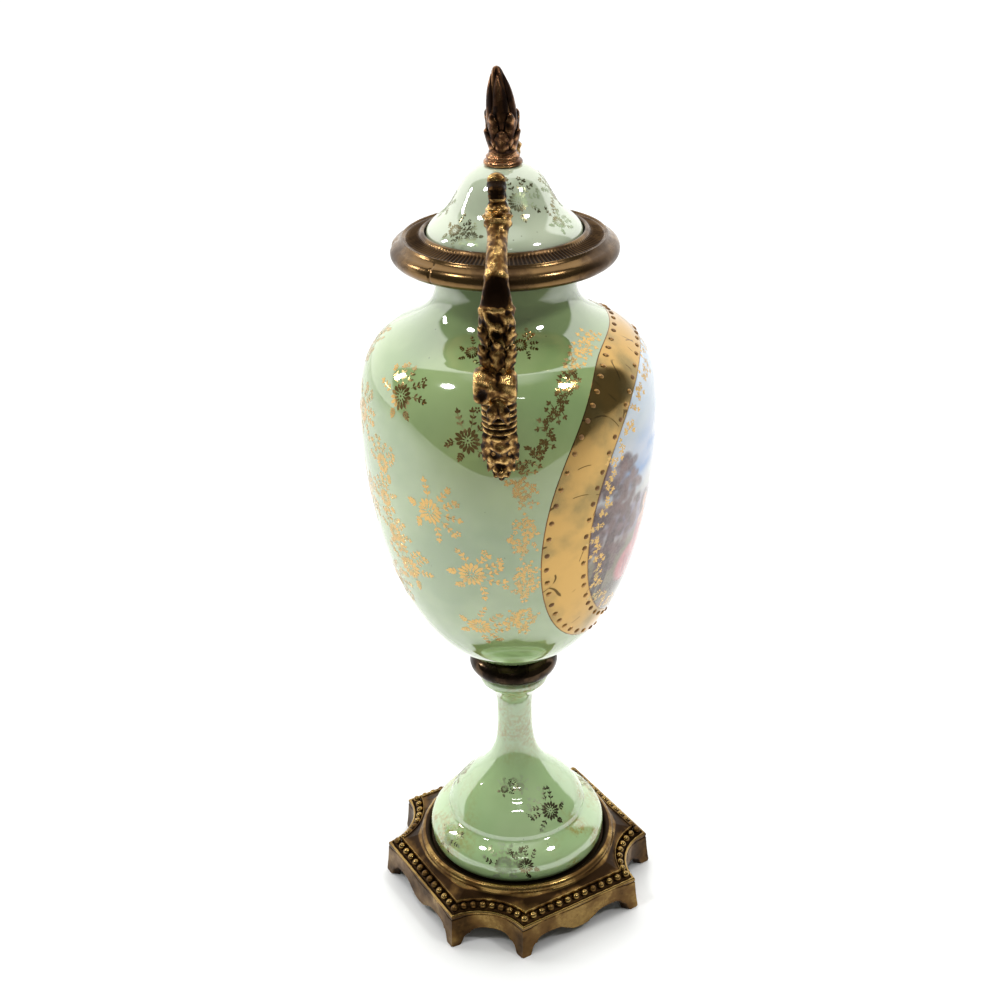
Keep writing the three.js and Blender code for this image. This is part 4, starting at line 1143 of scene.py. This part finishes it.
dots = np.concatenate([dot_row(BAND_OUTER, -2.3, 7.4), dot_row(BAND_INNER, 2.2, 7.0)])
dome_a = np.linspace(0, np.pi / 2, 5)[:-1, None]
dome_t = steps_round(DOT_SIDES)
dome_r = DOT_RADIUS * np.cos(dome_a)
dome_h = (DOT_RISE + DOT_SINK) * np.sin(dome_a) - DOT_SINK
dome = rounded(dome_r, dome_t, dome_h)
dome, *dome_faces = closed_skin(dome, (0, 0, -DOT_SINK), (0, 0, DOT_RISE))
dot_points = on_body(dots[:, :1] + dome[:, 0], dots[:, 1:] + dome[:, 1], dome[:, 2])
dot_faces = repeated(dome_faces, len(dots), len(dome))
dot_gold = gilding("dot_gold", (0.42, 0.235, 0.085), (0.26, 0.14, 0.06), 0.45, 0.6, 0.3)
enamel_dots = put_mesh("enamel_dots", dot_points.reshape(-1, 3), dot_faces, dot_gold)
finish_piece(facing_out(enamel_dots))


def dab(x, y, cx, cy, rx, ry, angle, soft):
    """Share of paint left by one touch of the brush: full inside a turned oval, and falling
    smoothly to nothing over its soft rim."""
    c, s = np.cos(angle), np.sin(angle)
    u, v = (x - cx) * c + (y - cy) * s, -(x - cx) * s + (y - cy) * c
    far = np.sqrt((u / rx) ** 2 + (v / ry) ** 2)
    t = np.clip((1 + soft - far) / (2 * soft), 0, 1)
    return t * t * (3 - 2 * t)


def painted_scene(x, y):
    """Colours of a park at evening: pale sky with a blue rift, far hills, trees at both sides,
    a meadow, and two small seated figures in loose dress. Each touch is laid over the last."""
    chance = np.random.default_rng(8)
    up = np.clip((y + 60) / 120, 0, 1)[..., None]
    low, high = np.array([0.8, 0.74, 0.66]), np.array([0.7, 0.8, 0.9])
    paint = low + (high - low) * np.clip(up * 1.6 - 0.5, 0, 1)

    def lay(colour, strength, *touch):
        """Lays one touch of a colour over the paint below it, as strong as given."""
        nonlocal paint
        share = (dab(x, y, *touch) * strength)[..., None]
        paint = paint * (1 - share) + np.array(colour) * share

    lay((0.22, 0.44, 0.8), 0.9, -24, 22, 20, 9, 0.35, 0.8)
    lay((0.34, 0.56, 0.84), 0.6, 16, 34, 24, 7, -0.2, 0.8)
    for k in range(26):
        place = chance.uniform(-50, 50), chance.uniform(8, 52)
        lay((0.9, 0.9, 0.92), 0.45, *place, chance.uniform(6, 15), chance.uniform(2, 5),
            chance.uniform(-0.3, 0.3), 0.8)
    lay((0.4, 0.42, 0.6), 0.85, 18, -6, 30, 7, 0.08, 0.4)
    lay((0.44, 0.38, 0.5), 0.85, -18, -7, 34, 9, -0.1, 0.4)
    lay((0.4, 0.36, 0.26), 0.95, 0, -44, 90, 32, 0.0, 0.12)
    lay((0.56, 0.46, 0.32), 0.7, 8, -34, 34, 9, 0.1, 0.6)
    lay((0.22, 0.17, 0.13), 0.8, -8, -62, 60, 14, 0.0, 0.5)
    for side, cx, cy, rx, ry, count in ((0, -45, -6, 17, 27, 190), (1, 48, 4, 13, 28, 150)):
        for k in range(3):
            lay((0.16, 0.1, 0.09), 0.85, cx + 3 * k - 3, -26, 1.3, 22, 0.08 * (k - 1), 0.3)
        for k in range(count):
            a, far = chance.uniform(0, 2 * np.pi), chance.random() ** 0.5
            place = cx + rx * far * np.cos(a), cy + ry * far * np.sin(a) + 6
            warm = chance.random()
            tone = np.array([0.19, 0.12, 0.12]) * (1 - warm) + np.array([0.44, 0.31, 0.3]) * warm
            if side:
                tone = tone * (0.75, 0.95, 0.6)
            lay(tone, 0.75, *place, chance.uniform(1.4, 3.6), chance.uniform(1.0, 2.4),
                chance.uniform(0, 3), 0.5)
    skin, shade, ink = (0.84, 0.55, 0.42), (0.58, 0.32, 0.25), (0.18, 0.11, 0.08)
    size = 1.35
    for cx, cy, way, dress, fold, hair in (
        (-20, -20, 1, (0.78, 0.36, 0.38), (0.52, 0.19, 0.24), (0.22, 0.11, 0.06)),
        (13, -21, -1, (0.84, 0.78, 0.66), (0.44, 0.46, 0.6), (0.34, 0.19, 0.08)),
    ):
        for tone, strength, dx, dy, rx, ry, angle, soft in (
            ((0.16, 0.12, 0.1), 0.7, 2, -14, 16, 4, 0, 0.5),
            (dress, 0.97, -1, -7, 9.5, 7.5, -0.25, 0.15),
            (dress, 0.97, 7, -11, 9, 4.2, -0.12, 0.15),
            *[(fold, 0.6, k * 2.2 - 5, -8 - k / 2, 0.7, 5, 0.3 + 0.14 * k, 0.6) for k in range(7)],
            (dress, 0.97, 0, 1.5, 3.9, 6, 0.1, 0.18),
            (fold, 0.5, -2, 1, 1, 5, 0.2, 0.6),
            (skin, 0.97, 0.3, 7.2, 3.3, 2, 0, 0.25),
            (skin, 0.97, 4.6, 1.2, 1.15, 4.6, 0.75, 0.25),
            (skin, 0.97, 8.2, -1.8, 3.2, 0.9, -0.15, 0.3),
            (shade, 0.4, -0.6, 6.4, 2.4, 0.7, 0, 0.5),
            (skin, 0.97, 0.5, 9.4, 0.9, 1.7, 0, 0.3),
            (hair, 0.97, 0.1, 13.4, 2.9, 3.1, 0, 0.2),
            (hair, 0.9, -2, 11.4, 1.3, 2.4, 0.2, 0.3),
            (skin, 0.98, 0.9, 12.5, 1.95, 2.5, 0.08, 0.2),
            ((0.82, 0.42, 0.36), 0.4, 1.9, 11.9, 0.6, 0.5, 0, 0.8),
            (ink, 0.7, 0.35, 12.8, 0.26, 0.15, 0, 0.6),
            (ink, 0.7, 1.75, 12.8, 0.26, 0.15, 0, 0.6),
            ((0.68, 0.24, 0.22), 0.7, 1.1, 11.15, 0.42, 0.16, 0, 0.6),
            (shade, 0.35, 1.15, 12.1, 0.18, 0.5, 0, 0.8),
        ):
            place = cx + size * way * dx, cy + size * dy
            lay(tone, strength, *place, size * rx, size * ry, way * angle, soft)
    for k in range(90):
        place = chance.uniform(-52, 52), chance.uniform(-58, -38)
        tone = ((0.42, 0.42, 0.2), (0.26, 0.24, 0.14), (0.58, 0.3, 0.3))[k % 3]
        lay(tone, 0.55, *place, chance.uniform(0.5, 2.6), chance.uniform(0.3, 0.9),
            chance.uniform(-0.6, 0.6), 0.6)
    return np.clip(paint, 0, 1) ** 1.55


def enamel_material():
    """Painted enamel: the piece's own colours with fine brush grain, under a glossy glaze."""
    made, tree, shader = new_material("painted_enamel")
    own = new_node(tree, "ShaderNodeAttribute", attribute_name="paint").outputs["Color"]
    grain = noise(own_place(tree), 900.0, 3.0)
    light = blended(ramped(grain, 0.3, 0.7, 0.0, 0.1), own, (0.8, 0.74, 0.68))
    dull = ramped(grain, 0.3, 0.7, 0.06, 0.16)
    set_inputs(shader, {"Base Color": light, "Roughness": dull, "Coat Weight": 0.4})
    return made


PICTURE_RINGS, PICTURE_COLUMNS, LACE_PLACES = 96, 420, 64
t = steps_round(PICTURE_COLUMNS)[None]
share = (np.arange(PICTURE_RINGS) + 1)[:, None] / PICTURE_RINGS
paint_x, paint_y = oval(BAND_INNER[:2] + (0.0,), t, share)
top = on_body(paint_x, BAND_INNER[2] + paint_y, FILM)
rim = on_body(paint_x[-1:], BAND_INNER[2] + paint_y[-1:], -FILM)
middle = on_body(np.zeros(2), np.full(2, BAND_INNER[2]), np.array([FILM, -FILM]))
points, *faces = closed_skin(np.concatenate([top, rim]), *middle)
picture = put_mesh("painted_picture", points, faces, enamel_material())
flat = [np.concatenate([v.ravel(), v[-1], [0, 0]]) for v in (paint_x, paint_y)]
paint = np.append(painted_scene(*flat), np.ones((len(points), 1)), 1)
layer = picture.data.attributes.new("paint", "FLOAT_COLOR", "POINT")
layer.data.foreach_set("color", paint.astype(np.float32).ravel())
finish_piece(facing_out(picture))

groups = []
for k in range(LACE_PLACES):
    x, y = oval(BAND_INNER, k * 2 * np.pi / LACE_PLACES + 0.02, 0.925 + 0.03 * (k % 2))
    bits = sprig(x, y, (3.8, 1.9), (3.4, 1.7)) + blossom(x + 0.8, y, 1.3)
    groups.append((body_outer, PANEL_ANGLE, WIDEST, bits))
gold_films("picture_lace", groups, body_gold, film=0.06)
